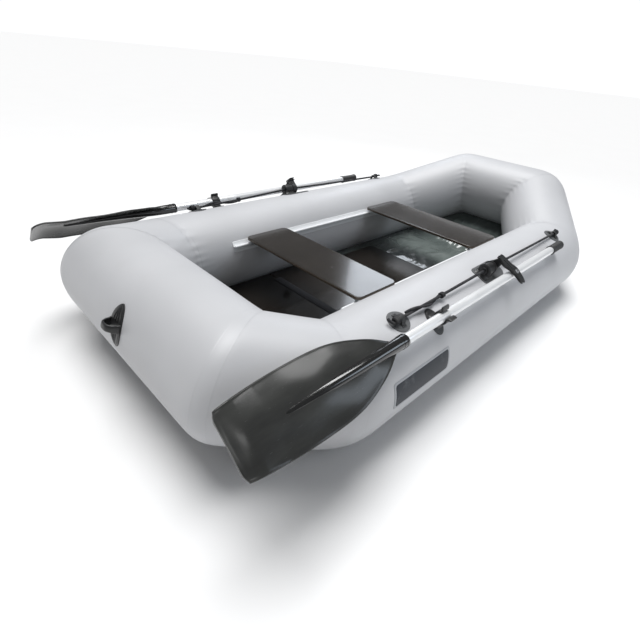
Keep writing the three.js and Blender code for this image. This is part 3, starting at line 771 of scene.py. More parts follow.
def thick_sheet(top, thick):
    """A closed sheet: the top grid, a copy under it, and an edge round both."""
    rows, columns = top.shape[:2]
    under = top - (0, 0, thick)
    count = rows * columns
    faces = [f[::-1] for f in grid_faces(rows, columns, close_columns=False)]
    faces += [tuple(i + count for i in reversed(f)) for f in faces]
    edge = [(0, j) for j in range(columns)] + [(i, columns - 1) for i in range(1, rows)]
    edge += [(rows - 1, j) for j in range(columns - 2, -1, -1)] + [(i, 0) for i in range(rows - 2, 0, -1)]
    rim = [i * columns + j for i, j in edge]
    for a, b in zip(rim, rim[1:] + rim[:1]):
        faces.append((a, b, b + count, a + count))
    return np.vstack([top.reshape(-1, 3), under.reshape(-1, 3)]), faces


def sheet_look():
    cloth = cells(1100)
    haze = speckle(6, 4, 0.6)
    crease_streaks_and_painted_sheen = speckle(9, 5, 0.65, stretched(0.5, 2.4, 1))
    color = mix(haze.band(0.3, 0.7), (0.085, 0.102, 0.098), (0.135, 0.158, 0.15))
    return {
        # The lighter colour along the fore-and-aft crease streaks is a painted highlight, the sheen on the folds; the
        # same streaks also raise the creases in the bump and vary the roughness.
        "Base Color": mix(crease_streaks_and_painted_sheen.band(0.5, 0.75) * 0.35, color, (0.2, 0.225, 0.215)),
        "Roughness": 0.10 + haze * 0.12 + crease_streaks_and_painted_sheen * 0.06,
        "Normal": bump(cloth, 0.0002, 0.3, bump(crease_streaks_and_painted_sheen, 0.002, 0.35)),
    }


SHEET = material("sheet_pvc", sheet_look, Coat_Weight=0.5, Coat_Roughness=0.1)
flat_sheet, creased_sheet = bottom_sheet()
bottom = piece("bottom_cloth", *thick_sheet(creased_sheet, SHEET_THICK), SHEET, "hull",
               ["bottom_sheet"], "sheet_pvc")
sheet_run = np.linalg.norm(np.diff(flat_sheet[:, 60], axis=0), axis=1).sum()
sheet_wide = np.ptp(flat_sheet[..., 1])
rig.sheet(bottom, flat=(float(sheet_wide), float(sheet_run)), held="stretched", rests_on=["hull_skin"],
         area=surface_area(flat_sheet))


# FLOORBOARDS. Three panels of 9 mm film-faced plywood. The two aft ones are wedged under the
# side tubes, and the narrower fore one hinges up on a strip of webbing.
def rounded_rect(x0, x1, y0, y1, radius, steps=8):
    corners = [(x1 - radius, y1 - radius, 0), (x0 + radius, y1 - radius, 1),
               (x0 + radius, y0 + radius, 2), (x1 - radius, y0 + radius, 3)]
    turns = [(cx, cy, (q + t / steps) * pi / 2) for cx, cy, q in corners for t in range(steps + 1)]
    return np.array([(cx + radius * cos(a), cy + radius * sin(a)) for cx, cy, a in turns])


def inset(outline, distance):
    """Move a counter-clockwise outline inwards."""
    edge = np.roll(outline, -1, 0) - outline
    edge /= np.maximum(np.linalg.norm(edge, axis=1), 1e-9)[:, None]
    inwards = np.stack([-edge[:, 1], edge[:, 0]], 1)
    both = inwards + np.roll(inwards, 1, 0)
    both /= np.linalg.norm(both, axis=1)[:, None]
    stretch = 1 / np.maximum((both * inwards).sum(1), 0.5)
    return outline + both * (distance * stretch)[:, None]


def at_height(flat, height):
    """Stand a flat outline at a height, or its points at a height each."""
    return np.column_stack([flat, np.broadcast_to(height, len(flat))])


def end_faces(rows, columns):
    """The two flat faces that close the first and the last ring."""
    last = (rows - 1) * columns
    return [tuple(reversed(range(columns))), tuple(range(last, last + columns))]


def slab(outline, z0, z1, bevel, steps=4):
    """A plate with its edges rounded over, and flat faces top and bottom."""
    outline = np.asarray(outline, float)
    levels = []
    for k in range(steps + 1):
        a = k / steps * pi / 2
        levels.append((bevel * (1 - sin(a)), z0 + bevel * (1 - cos(a))))
    levels = [(bevel * 2.2, z0)] + levels
    levels += [(depth, z0 + z1 - z) for depth, z in reversed(levels)]
    rings = [at_height(inset(outline, depth) if depth else outline, z) for depth, z in levels]
    rows, columns = len(rings), len(outline)
    return np.vstack(rings), grid_faces(rows, columns) + end_faces(rows, columns)


def ply_look(warm):
    def build():
        up = Socket.node("ShaderNodeNewGeometry", out=1)
        facing = Socket.node("ShaderNodeSeparateXYZ", inputs={0: up}, out=2)
        edge = 1 - facing.math("ABSOLUTE").band(0.25, 0.6)
        film = speckle(7, 5, 0.6)
        grain = speckle(30, 4, 0.6, stretched(0.25, 6, 1))
        scuffs = speckle(90, 3, 0.7, stretched(3, 0.3, 1)).band(0.66, 0.78)
        face = mix(film.band(0.3, 0.7), tuple(c * 0.75 for c in warm), warm)
        face = mix(grain.band(0.5, 0.75) * 0.35, face, tuple(c * 1.9 + 0.004 for c in warm))
        face = mix(scuffs * 0.12, face, (0.16, 0.15, 0.14))
        plies = axes()[2].waves(330).band(-0.2, 0.2)
        layers = mix(plies, (0.028, 0.02, 0.014), (0.085, 0.06, 0.038))
        return {
            "Base Color": mix(edge, face, layers),
            "Roughness": 0.13 + film * 0.1 + scuffs * 0.15 + edge * 0.4,
            "Normal": bump(grain, 0.0004, 0.25, bump(film, 0.0015, 0.12)),
        }
    return build


BOARD_TINT = (0.013, 0.0105, 0.0085)
PLY = material("film_faced_ply", ply_look(BOARD_TINT), Coat_Weight=0.2, Coat_Roughness=0.08)
BOARD_LOW, BOARD_TOP = 0.047, 0.056
WEDGED, NARROW = 0.354, 0.303
BOARDS = {
    "aft": (0.300, 0.649, WEDGED, 0.030, "hull"),
    "middle": (0.652, 1.001, WEDGED, 0.006, "hull"),
    "fore": (1.004, FLOOR_FORE, NARROW, 0.030, "lifting_floorboard"),
}
for name, (x0, x1, half, radius, body) in BOARDS.items():
    outline = rounded_rect(x0 + STERN_X, x1 + STERN_X, -half, half, radius)
    piece(f"floorboard_{name}_panel", *slab(outline, BOARD_LOW, BOARD_TOP, 0.0016), PLY, body,
          [f"floorboard_{name}"], "plywood")


def webbing_look():
    x, y = axes()[:2]
    ribs = x.waves(420) * y.waves(260)
    fuzz = speckle(700, 2)
    return {
        "Base Color": mix(ribs.band(-0.6, 0.6), (0.02, 0.021, 0.024), (0.05, 0.053, 0.06)),
        "Roughness": 0.72 + fuzz * 0.2,
        "Normal": bump(ribs.band(-0.8, 0.8) * 0.8 + fuzz * 0.2, 0.0004, 0.8),
    }


WEBBING = material("woven_webbing", webbing_look, Specular_IOR_Level=0.3)
STRIP_LOW, STRIP_THICK = BOARD_TOP + 0.00035, 0.001
STRIP_REACH, SEAM_REACH, STITCH_DEEP = 0.020, 0.015, 0.0004
HINGES = {"aft": 0.6505, "fore": 1.0025}
for name, middle in HINGES.items():
    half = NARROW - 0.012
    columns = np.linspace(middle - STRIP_REACH, middle + STRIP_REACH, 25) + STERN_X
    rows = np.linspace(-half, half, 90)
    level = STRIP_LOW + STRIP_THICK
    top = np.stack(np.broadcast_arrays(columns[:, None], rows[None, :], level), -1).copy()
    seams = np.abs(np.abs(columns - columns.mean()) - SEAM_REACH) < 0.001
    top[seams, ::2, 2] -= STITCH_DEEP
    body = "hull" if name == "aft" else None
    strip = piece(f"hinge_webbing_{name}", *thick_sheet(top, STRIP_THICK), WEBBING, body,
                  [f"floor_hinge_strip_{name}"], "webbing")
    if name == "fore":
        hinge = (STERN_X + middle, 0, BOARD_TOP)
        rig.blend(strip, "hull", "lifting_floorboard", start=(hinge[0] - 0.006, 0, hinge[2]),
                 end=(hinge[0] + 0.006, 0, hinge[2]))
    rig.sheet(strip, flat=(0.040, 2 * half), held="laid", rests_on=["floorboard_middle_panel"])


# SEAT RAILS. A white extruded strip welded along the inside of each side tube, with a round
# bead on a thin neck that the seat channels slide along.
RAIL_AFT, RAIL_FORE = 0.440, 1.562
RAIL_Z, RAIL_REACH, BEAD_R = 0.258, 0.195, 0.005
RAIL_SLOPE = degrees(np.arcsin((RAIL_Z - TUBE_R) / RAIL_REACH))


def rail_section():
    out = RAIL_REACH - TUBE_R
    around = [(BEAD_R * sin(a), out - BEAD_R * cos(a)) for a in np.linspace(0.30, 2 * pi - 0.30, 22)]
    half = [(0.0225, -0.0012), (0.0228, 0.0006), (0.0215, 0.0019), (0.0035, 0.0024), (0.0014, 0.0042)]
    return np.array(half + around + [(-y, z) for y, z in reversed(half)])


def at_station(x, flat):
    """Stand an outline of (slope, out) points across the boat, at x."""
    return np.column_stack([np.full(len(flat), x), flat])


def extruded(section, stations, place, ease=0.0):
    """A section of (slope, out) points carried straight along x, drawn in at its closed ends."""
    middle = section.mean(0)
    rings = []
    for k, x in enumerate(stations):
        scale = 1 - ease if k in (0, len(stations) - 1) else 1
        rings.append(place(at_station(x, middle + (section - middle) * scale)))
    rows, columns = len(rings), len(section)
    return np.vstack(rings), grid_faces(rows, columns) + end_faces(rows, columns)


def outward(points, faces):
    """Turn every face of a closed shape the right way round."""
    mesh = bmesh.new()
    verts = [mesh.verts.new(p) for p in points]
    for face in faces:
        mesh.faces.new([verts[i] for i in face])
    bmesh.ops.recalc_face_normals(mesh, faces=mesh.faces)
    mesh.verts.index_update()
    turned = [tuple(v.index for v in f.verts) for f in mesh.faces]
    mesh.free()
    return points, turned


def rail_look():
    scuff = speckle(30, 5, 0.65, stretched(0.4, 2, 2)).band(0.5, 0.75)
    return {
        "Base Color": mix(scuff * 0.25, (0.74, 0.755, 0.77), (0.5, 0.5, 0.49)),
        "Roughness": 0.32 + scuff * 0.25,
        "Normal": bump(speckle(500, 2), 0.0002, 0.4),
    }


RAIL = material("rail_pvc", rail_look)
stations = np.linspace(RAIL_AFT, RAIL_FORE, 120)
rail = extruded(rail_section(), stations, lambda p: on_tube(p, 180 - RAIL_SLOPE), 0.1)
pair("rail_{}", *outward(*rail), RAIL, "hull", "seat_rail_{}", "rail_pvc")


# SEATS. Two benches of 12 mm film-faced plywood with rounded corners. A slotted aluminium
# channel is screwed to the underside of each end and grips the bead of the rail.
SEAT_TOP, SEAT_THICK, SEAT_HALF, SEAT_ROUND = 0.285, 0.012, 0.329, 0.026
SEATS = {"aft": (0.504, 0.722), "fore": (1.290, 1.532)}
SEAT_TINT = (0.017, 0.0135, 0.0105)
SEAT_PLY = material("seat_ply", ply_look(SEAT_TINT), Coat_Weight=0.25, Coat_Roughness=0.07)
RAIL_Y = -HALF_BEAM + RAIL_REACH * cos(radians(RAIL_SLOPE))
CHANNEL_R, CHANNEL_BORE = 0.0093, 0.0056
CHANNEL_IN, SCREW_IN = 0.012, 0.045
PLATE_LOW, PLATE_HIGH = RAIL_Z + 0.0065, SEAT_TOP - SEAT_THICK - 0.00035
SCREW_Y, SCREW_R, SCREW_HIGH = RAIL_Y + 0.0137, 0.0040, 0.0022


def channel_section():
    facing = pi + radians(RAIL_SLOPE)
    outer = [facing + a for a in np.linspace(0.27, 2 * pi - 0.27, 34)]
    inner = [facing + a for a in np.linspace(2 * pi - 0.44, 0.44, 30)]
    ring = [(CHANNEL_R * cos(a), CHANNEL_R * sin(a)) for a in outer]
    ring += [(CHANNEL_BORE * cos(a), CHANNEL_BORE * sin(a)) for a in inner]
    return np.array(ring) + (RAIL_Y, RAIL_Z)


def lengthways(points):
    """Place (along, y, z) points that are measured from the stern tube."""
    return np.asarray(points, float) + (STERN_X, 0, 0)


def alloy_look(tint):
    def build():
        brushed = speckle(60, 3, 0.7, stretched(0.3, 14, 14))
        smear = speckle(11, 5, 0.6).band(0.45, 0.75)
        return {
            "Base Color": mix(brushed.band(0.3, 0.7), tuple(c * 0.9 for c in tint), tint),
            "Roughness": 0.24 + brushed * 0.12 + smear * 0.12,
            "Normal": bump(brushed, 0.00008, 0.5),
        }
    return build


CHANNEL = material("bare_aluminium", alloy_look((0.76, 0.77, 0.79)), Metallic=1.0)
STEEL = material("bolt_steel", alloy_look((0.58, 0.59, 0.61)), Metallic=1.0)
SCREW = material("blacked_screws", alloy_look((0.11, 0.11, 0.115)), Metallic=1.0)


def turned_shape(profile, count=48, knurl=None):
    """Rings of a turned shape: (radius, height) pairs about the z axis."""
    rings = []
    for k, (radius, height) in enumerate(profile):
        flat = circle(count, radius)
        if knurl:
            flat = flat * knurl(k, np.arange(count) * 2 * pi / count)[:, None]
        rings.append(at_height(flat, height))
    return rings


def screw_head():
    """A raised pan head with a cross recess."""
    count = 32
    a = np.arange(count) * 2 * pi / count
    arms = np.clip(np.abs(np.cos(2 * a)) * 1.6 - 0.85, 0, 1)
    shape = [(1.0, -0.001, 0), (1.0, 0.2, 0), (0.95, 0.5, 0), (0.8, 0.8, 0), (0.6, 0.95, 0), (0.5, 1.0, 0),
             (0.45, 1.0, 0.9), (0.2, 0.97, 1)]
    return loft([at_height(circle(count, SCREW_R * share), SCREW_HIGH * (lift - dip * arms * 0.75))
                 for share, lift, dip in shape])


def moved(shape, offset):
    return np.asarray(shape[0]) + offset, shape[1]


def upside_down(shape):
    return np.asarray(shape[0]) * (1, -1, -1), shape[1]


for name, (x0, x1) in SEATS.items():
    body = f"{name}_seat"
    outline = rounded_rect(x0 + STERN_X, x1 + STERN_X, -SEAT_HALF, SEAT_HALF, SEAT_ROUND)
    piece(f"seat_{name}_board", *slab(outline, SEAT_TOP - SEAT_THICK, SEAT_TOP, 0.003), SEAT_PLY, body,
          [f"seat_{name}"], "plywood")
    aft, fore = x0 + CHANNEL_IN, x1 - CHANNEL_IN
    ring = extruded(channel_section(), [aft, aft + 0.0006, fore - 0.0006, fore], lengthways, 0.03)
    plate_outline = rounded_rect(aft + STERN_X, fore + STERN_X, RAIL_Y - 0.014, RAIL_Y + 0.018, 0.002)
    plate = slab(plate_outline, PLATE_LOW, PLATE_HIGH, 0.0006)
    pair(f"seat_{name}_slide_{{}}", *merged(outward(*ring), plate), CHANNEL, body,
         f"seat_{name}_channel_{{}}", "bare_aluminium")
    screws = [moved(upside_down(screw_head()), (STERN_X + x, SCREW_Y, PLATE_LOW))
              for x in (x0 + SCREW_IN, (x0 + x1) / 2, x1 - SCREW_IN)]
    pair(f"seat_{name}_screws_{{}}", *merged(*screws), SCREW, body, None, "bolt_steel")


# ROWLOCKS. A grey patch on the tube carries a moulded rubber block. A hollow axle turns in
# the block, and the arm on its end reaches over the oar to a bolt through the shaft.
PAD_SUNK, PAD_ROLL = -0.0006, 0.0012


def pad(outline, thick, bend):
    """A patch with a rolled edge, in (x, slope), bent round a tube by bend."""
    outline = np.asarray(outline, float)
    middle = outline.mean(0)
    rings = []
    for depth, out in ((0, PAD_SUNK), (0, thick * 0.55), (0.0005, thick * 0.9), (PAD_ROLL, thick)):
        rings.append(bend(at_height(inset(outline, depth) if depth else outline, out)))
    top = inset(outline, PAD_ROLL)
    for share in np.linspace(1, 0, 8)[1:-1]:
        rings.append(bend(at_height(middle + (top - middle) * share, thick)))
    points = np.vstack(rings + [bend(np.array([[*middle, out]])) for out in (thick, PAD_SUNK)])
    count = len(outline)
    faces = grid_faces(len(rings), count)
    last = (len(rings) - 1) * count
    top_hub, low_hub = len(points) - 2, len(points) - 1
    for a in range(count):
        b = (a + 1) % count
        faces.append((last + a, last + b, top_hub))
        faces.append((b, a, low_hub))
    return outward(points, faces)


def pad_stack(layers, bend):
    """Patches of (outline, thickness) that lie over each other, as one moulding."""
    return merged(*(pad(outline, thick, bend) for outline, thick in layers))


def dense(outline, step=0.004):
    """The same outline with points about a step apart."""
    closed = np.vstack([outline, outline[:1]])
    run = path_length(closed)
    at = np.linspace(0, run[-1], max(12, int(run[-1] / step)), endpoint=False)
    return np.stack([np.interp(at, run, closed[:, k]) for k in range(2)], 1)


def rubber_look(tint, shine):
    def build():
        grain = speckle(420, 3)
        dust = speckle(18, 5, 0.6).band(0.5, 0.78)
        clean = mix(grain.band(0.3, 0.7), tint, tuple(c * 1.5 for c in tint))
        return {
            "Base Color": mix(dust * 0.35, clean, tuple(c + 0.035 for c in tint)),
            "Roughness": shine + grain * 0.12 + dust * 0.12,
            "Normal": bump(grain, 0.0002, 0.6),
        }
    return build


PATCH = material("patch_pvc", rubber_look((0.075, 0.078, 0.081), 0.42))
RUBBER = material("black_rubber", rubber_look((0.0095, 0.0098, 0.0104), 0.36), Coat_Weight=0.15,
                  Coat_Roughness=0.3)
LOCK_ANGLE = ROPE_ANGLE
LOCK_AFT, LOCK_FORE, LOCK_R, RIM_R, LOCK_BORE = 0.905, 0.956, 0.023, 0.0245, 0.0134
LOCK_PATCH = (0.887, 1.043, -0.040, 0.040)
SHAFT_ANGLE, SHAFT_REACH, SHAFT_R = 52.1, 0.2165, 0.016
ARM_X, PIVOT_X, ARM_LOW, ARM_HIGH = 0.968, 1.004, 0.019, 0.028


def by_lock(points):
    return off_tube(points, LOCK_ANGLE, LOCK_REACH)


def by_shaft(points):
    return off_tube(points, SHAFT_ANGLE, SHAFT_REACH)


def placed(shape, place):
    return place(np.asarray(shape[0])), shape[1]


lock_patch = pad(dense(rounded_rect(*LOCK_PATCH, 0.022)), 0.0021, lambda p: on_tube(p, LOCK_ANGLE))
pair("rowlock_base_{}", *lock_patch, PATCH, "hull", "rowlock_patch_{}", "patch_pvc")


def lying(shape):
    """Turn a shape turned about z so that it runs along x."""
    points = np.asarray(shape[0])
    return points[:, [2, 0, 1]], shape[1]


def turned_ring(wall, count):
    """A turned shape whose (radius, height) section closes on itself."""
    rings = turned_shape(wall, count)
    return np.vstack(rings), grid_faces(len(rings), count, close_rows=True)


def lock_barrel():
    wall = [(LOCK_BORE, 0.0012), (LOCK_BORE + 0.0012, 0), (RIM_R - 0.0022, 0), (RIM_R - 0.0006, 0.0008),
            (RIM_R, 0.0026), (RIM_R, 0.006), (LOCK_R - 0.0018, 0.0078), (LOCK_R - 0.0018, 0.0430),
            (RIM_R, 0.0448), (RIM_R, 0.0484), (RIM_R - 0.0006, 0.0502), (RIM_R - 0.0022, 0.051),
            (LOCK_BORE + 0.0012, 0.051), (LOCK_BORE, 0.0498)]
    return placed(moved(lying(turned_ring(wall, 64)), (LOCK_AFT, 0, 0)), by_lock)


def lock_pedestal():
    rings = []
    drop = LOCK_REACH - TUBE_R
    shape = ((-drop + 0.0005, 0.0, 0.030), (-drop + 0.0035, 0.0, 0.030), (-drop + 0.0055, 0.003, 0.0268),
             (-drop + 0.009, 0.0055, 0.0225), (-0.0125, 0.0072, 0.0195), (-0.0085, 0.0078, 0.0187))
    for height, shorter, half in shape:
        outline = rounded_rect(LOCK_AFT - 0.011 + shorter, LOCK_FORE - 0.003 - shorter * 0.6, -half, half,
                               min(0.011, half * 0.6))
        sag = LOCK_REACH - np.sqrt(np.maximum((TUBE_R + height + drop) ** 2 - outline[:, 1] ** 2, 0))
        level = np.where(height < -0.015, -sag, height)
        rings.append(by_lock(at_height(outline, level)))
    return outward(*loft(rings))


def lock_ribs():
    parts = []
    for x in (LOCK_AFT + 0.0135, LOCK_AFT + 0.0255, LOCK_AFT + 0.0375):
        for sign in (-1, 1):
            fin = np.array([(0.0175, 0.006), (0.0275, -0.0212), (0.0155, -0.0175), (0.0120, -0.004)])
            fin = fin * (sign, 1)
            rings = [by_lock(at_station(x + dx, fin)) for dx in (-0.0013, 0.0013)]
            parts.append(outward(*loft(rings)))
    return merged(*parts)


block = merged(outward(*lock_barrel()), lock_pedestal(), lock_ribs())
pair("rowlock_housing_{}", *block, RUBBER, "hull", "rowlock_block_{}", "black_rubber")


def lock_axle():
    r0, r1 = 0.0065, LOCK_BORE - 0.0005
    length = ARM_X - LOCK_AFT + 0.006
    wall = [(r0 + 0.0009, 0), (r1 - 0.0012, 0), (r1, 0.0012), (r1, LOCK_FORE - LOCK_AFT + 0.0068),
            (0.0215, LOCK_FORE - LOCK_AFT + 0.0068), (0.0225, LOCK_FORE - LOCK_AFT + 0.0078),
            (0.0225, length + 0.0058), (0.0215, length + 0.007), (r0 + 0.0009, length + 0.007),
            (r0, length + 0.006), (r0, 0.0009)]
    return outward(*placed(moved(lying(turned_ring(wall, 48)), (LOCK_AFT - 0.006, 0, 0)), by_lock))


def lock_arm():
    """The plate over the oar: wide at the flange, waisted, with a rounded tongue."""
    up = 0.0636
    tongue = [(-0.0125, -0.010), (-0.0100, -0.031), (-0.0060, -0.0410), (0, -0.044), (0.0060, -0.0410),
              (0.0098, -0.031), (0.0118, -0.010), (0.0105, 0.010)]
    outline = [(ARM_X - 0.009, up + 0.010), (ARM_X - 0.009, up - 0.020), (0.982, 0.014),
               *((PIVOT_X + x, y) for x, y in tongue), (0.996, 0.036), (ARM_X + 0.011, up + 0.010)]
    line = smooth_line([(x, y, 0) for x, y in outline + outline[:1]], 0.0022)[:-1, :2]
    plate = slab(line[::-1], ARM_LOW, ARM_HIGH, 0.0022)
    rib_line = smooth_line([(ARM_X + 0.001, up - 0.004, 0), (0.984, 0.026, 0), (0.996, 0.012, 0)], 0.003)
    rib = loft(sweep(rib_line + (0, 0, ARM_HIGH - 0.0006), lambda i: circle(12, 0.0026)))
    levels = ((-0.020, 0.0185, 0.0090), (-0.010, 0.0180, 0.0095), (0.002, 0.0150, 0.0098),
              (0.012, 0.0125, 0.0100), (ARM_LOW + 0.002, 0.0115, 0.0100))
    aft, middle = ARM_X - 0.009, up - 0.002
    riser = loft([at_height(rounded_rect(aft, aft + 2 * thick, middle - half, middle + half, 0.004), level)
                  for level, half, thick in levels])
    return merged(*(outward(*placed(part, by_shaft)) for part in (plate, rib, riser)))


pair("rowlock_arm_{}", *merged(lock_axle(), lock_arm()), RUBBER, "swivel_{}", "rowlock_swivel_{}",
     "black_rubber")


def hexagon(radius, low, high):
    outline = circle(6, radius / cos(pi / 6))
    return slab(outline, low, high, 0.0006, 2)


def pivot_bolt():
    washer = slab(circle(32, 0.0092), ARM_HIGH + 0.0001, ARM_HIGH + 0.0013, 0.0003, 2)
    head = hexagon(0.0065, ARM_HIGH + 0.0013, ARM_HIGH + 0.0052)
    shank = loft(turned_shape([(0.004, -SHAFT_R - 0.0075), (0.004, ARM_HIGH)], 24))
    nut = hexagon(0.0066, -SHAFT_R - 0.0056, -SHAFT_R - 0.0009)
    under = slab(circle(32, 0.0085), -SHAFT_R - 0.0009, -SHAFT_R + 0.0006, 0.0003, 2)
    parts = [placed(moved(part, (PIVOT_X, 0, 0)), by_shaft) for part in (washer, head, shank, nut, under)]
    return merged(*(outward(*part) for part in parts))


pair("pivot_bolt_{}", *pivot_bolt(), STEEL, "swivel_{}", "rowlock_pivot_bolt_{}", "bolt_steel")


# OARS. A drawn alloy tube with one groove along it, pushed into the socket of a moulded blade
# at one end and into a ribbed rubber grip at the other.
SHAFT_AFT, SHAFT_FORE = 0.300, 1.440
GROOVE_AT, GROOVE_WIDE, GROOVE_DEEP = radians(-62), 0.085, 0.0013


def shaft_section():
    a = np.arange(96) * 2 * pi / 96
    off = np.abs((a - GROOVE_AT + pi) % (2 * pi) - pi)
    return circle(96) * (SHAFT_R - GROOVE_DEEP * np.exp(-(off / GROOVE_WIDE) ** 2))[:, None]


def oar_shaft():
    stations = [SHAFT_AFT, SHAFT_AFT + 0.0005, *np.linspace(0.36, 1.38, 40), SHAFT_FORE - 0.0005, SHAFT_FORE]
    return outward(*extruded(shaft_section(), stations, by_shaft, 0.02))


OAR = material("oar_aluminium", alloy_look((0.86, 0.87, 0.88)), Metallic=0.35, Coat_Weight=0.3,
               Coat_Roughness=0.15)
pair("oar_tube_{}", *oar_shaft(), OAR, "oar_{}", "oar_shaft_{}", "oar_aluminium")

TIP, TIP_HALF, MAX_HALF, MAX_AT, NECK_AT = -0.192, 0.077, 0.093, 0.045, 0.318
BLADE_EDGE = [(TIP, TIP_HALF - 0.019), (TIP + 0.0045, TIP_HALF - 0.0075), (TIP + 0.017, TIP_HALF),
              (-0.075, 0.0885), (MAX_AT, MAX_HALF), (0.118, 0.0885), (0.180, 0.0735), (0.240, 0.049),
              (0.288, 0.0225), (NECK_AT, 0.008)]
BLADE_THICK = 0.0036
CROWN, SCOOP_DEEP, CURL_LONG, CURL_DEEP = 0.006, 0.018, 0.046, 0.0125


def blade_half(x):
    edge = smooth_line([(px, py, 0) for px, py in BLADE_EDGE], 0.002)
    return np.interp(x, edge[:, 0], edge[:, 1])


def blade_plate():
    """The scooped plate, with its edge rolled thick and its tip turned in to the tube."""
    nose = TIP + 0.014 * (1 - np.cos(np.linspace(0, pi / 2, 9)))
    xs = np.concatenate([nose, np.linspace(TIP + 0.019, 0.30, 110), np.linspace(0.303, NECK_AT, 6)])
    across = np.sin(np.linspace(-pi / 2, pi / 2, 61))
    rings = []
    for x in xs:
        half = blade_half(x)
        y = across * half
        to_edge = (half - np.abs(y))
        curl = np.clip((TIP + CURL_LONG - x) / CURL_LONG, 0, 1)
        level = 1 - 0.7 * np.clip((TIP + 0.10 - x) / 0.08, 0, 1)
        scoop = CROWN - SCOOP_DEEP * level * (y / MAX_HALF) ** 2 - CURL_DEEP * curl ** 1.5
        wash = 0.0011 * sin(x * 38) * np.cos(y * 34)
        neck = np.clip((x - 0.21) / 0.1, 0, 1)
        middle = (scoop + wash) * (1 - neck)
        rim = 0.0016 * np.exp(-(to_edge / 0.0042) ** 2) + 0.0012 * np.exp(-((x - TIP) / 0.004) ** 2)
        edge = np.sqrt(np.clip(to_edge / 0.0022, 0, 1))
        half_thick = (BLADE_THICK / 2 + rim) * edge
        top, low = (at_station(x, at_height(y, middle + out)) for out in (half_thick, -half_thick))
        rings.append(np.vstack([top, low[-2:0:-1]]))
    return outward(*placed(loft(rings), by_shaft))


def blade_spine():
    """The socket, and the rib that it tapers into along the middle of the plate."""
    profile = [(-0.084, 0.0012), (-0.080, 0.0030), (-0.02, 0.0058), (0.06, 0.0088), (0.14, 0.0120),
               (0.200, 0.0150), (0.240, 0.0172), (0.275, 0.0184), (0.300, 0.0190), (0.3245, 0.0190),
               (0.3255, 0.0200), (0.3305, 0.0200), (0.3315, 0.0190), (0.3375, 0.0190), (0.3385, 0.0200),
               (0.3450, 0.0200), (0.348, 0.0188), (0.348, SHAFT_R - 0.0002)]
    line = smooth_line([(x, r, 0) for x, r in profile[:9]], 0.006)[:, :2].tolist() + profile[9:]
    rings = []
    for x, r in line:
        spread = 1 + 0.5 * np.clip((0.25 - x) / 0.2, 0, 1)
        drop = np.interp(x, [-0.084, 0.0, 0.18, 0.25], [0.0030, 0.0030, 0.0015, 0])
        rings.append(at_station(x, circle(40, r) * (spread, 1) + (0, drop)))
    return outward(*placed(loft(rings), by_shaft))


def blade_look():
    flow = speckle(5, 5, 0.6, stretched(0.6, 2.2, 2.2))
    grain = speckle(260, 3)
    scratch = speckle(120, 3, 0.75, stretched(0.25, 2.5, 2.5)).band(0.66, 0.8)
    color = mix(flow.band(0.3, 0.7), (0.020, 0.0205, 0.0200), (0.036, 0.037, 0.035))
    return {
        "Base Color": mix(scratch * 0.3, color, (0.12, 0.12, 0.125)),
        "Roughness": 0.17 + flow * 0.13 + scratch * 0.2,
        "Normal": bump(grain, 0.00012, 0.4, bump(flow, 0.0025, 0.2)),
    }


def spine_look():
    grain = speckle(260, 3)
    rubbed = speckle(70, 4, 0.7, stretched(0.3, 2, 2)).band(0.6, 0.8)
    return {
        "Base Color": mix(rubbed * 0.3, (0.008, 0.0082, 0.008), (0.06, 0.06, 0.06)),
        "Roughness": 0.12 + rubbed * 0.25,
        "Normal": bump(grain, 0.0001, 0.4),
    }


BLADE = material("blade_plastic", blade_look, Specular_IOR_Level=0.35, Coat_Weight=0.08, Coat_Roughness=0.1)
SPINE = material("spine_plastic", spine_look, Coat_Weight=0.5, Coat_Roughness=0.06)
pair("oar_paddle_{}", *blade_plate(), BLADE, "oar_{}", "oar_blade_{}", "blade_plastic")
pair("oar_socket_{}", *blade_spine(), SPINE, "oar_{}", None, "blade_plastic")
GRIP_AFT, GRIP_FORE, GRIP_R = 1.395, 1.511, 0.0185
RIB_PITCH, RIB_HIGH, FLUTES, FLUTE_DEEP = 0.0122, 0.0009, 18, 0.012


def oar_grip():
    profile = [(SHAFT_R - 0.0002, GRIP_AFT), (GRIP_R + 0.0005, GRIP_AFT),
               (GRIP_R + 0.0012, GRIP_AFT + 0.0015), (GRIP_R + 0.0012, GRIP_AFT + 0.006),
               (GRIP_R - 0.0006, GRIP_AFT + 0.0085)]
    for x in np.linspace(GRIP_AFT + 0.010, GRIP_FORE - 0.017, 76):
        swell = RIB_HIGH * sin((x - GRIP_AFT) / RIB_PITCH * 2 * pi)
        profile.append((GRIP_R - 0.0007 + swell, float(x)))
    profile += [(GRIP_R + 0.0008, GRIP_FORE - 0.013), (GRIP_R + 0.0014, GRIP_FORE - 0.009),
                (GRIP_R + 0.0010, GRIP_FORE - 0.0045), (GRIP_R - 0.002, GRIP_FORE - 0.0015),
                (GRIP_R - 0.007, GRIP_FORE - 0.0002), (0.004, GRIP_FORE)]

    def flutes(k, a):
        ribbed = 5 <= k < 81
        return 1 + (FLUTE_DEEP * np.cos(a * FLUTES) if ribbed else 0 * a)

    shape = lying(loft(turned_shape(profile, 72, flutes)))
    return outward(*placed(shape, by_shaft))


GRIP = material("grip_rubber", rubber_look((0.02, 0.0205, 0.021), 0.5))
pair("grip_{}", *oar_grip(), GRIP, "oar_{}", "oar_grip_{}", "black_rubber")


# OAR CLIPS. A moulded rubber spring clip on an oval pad glued to the tube. Its two arms
# close round the stowed oar and spread as it is pulled out.
CLIP_X, CLIP_INNER, CLIP_WALL, CLIP_LONG = 0.541, 0.0166, 0.0062, 0.034


def ellipse(x, half_x, half_y, count=64):
    return circle(count) * (half_x, half_y) + (x, 0)


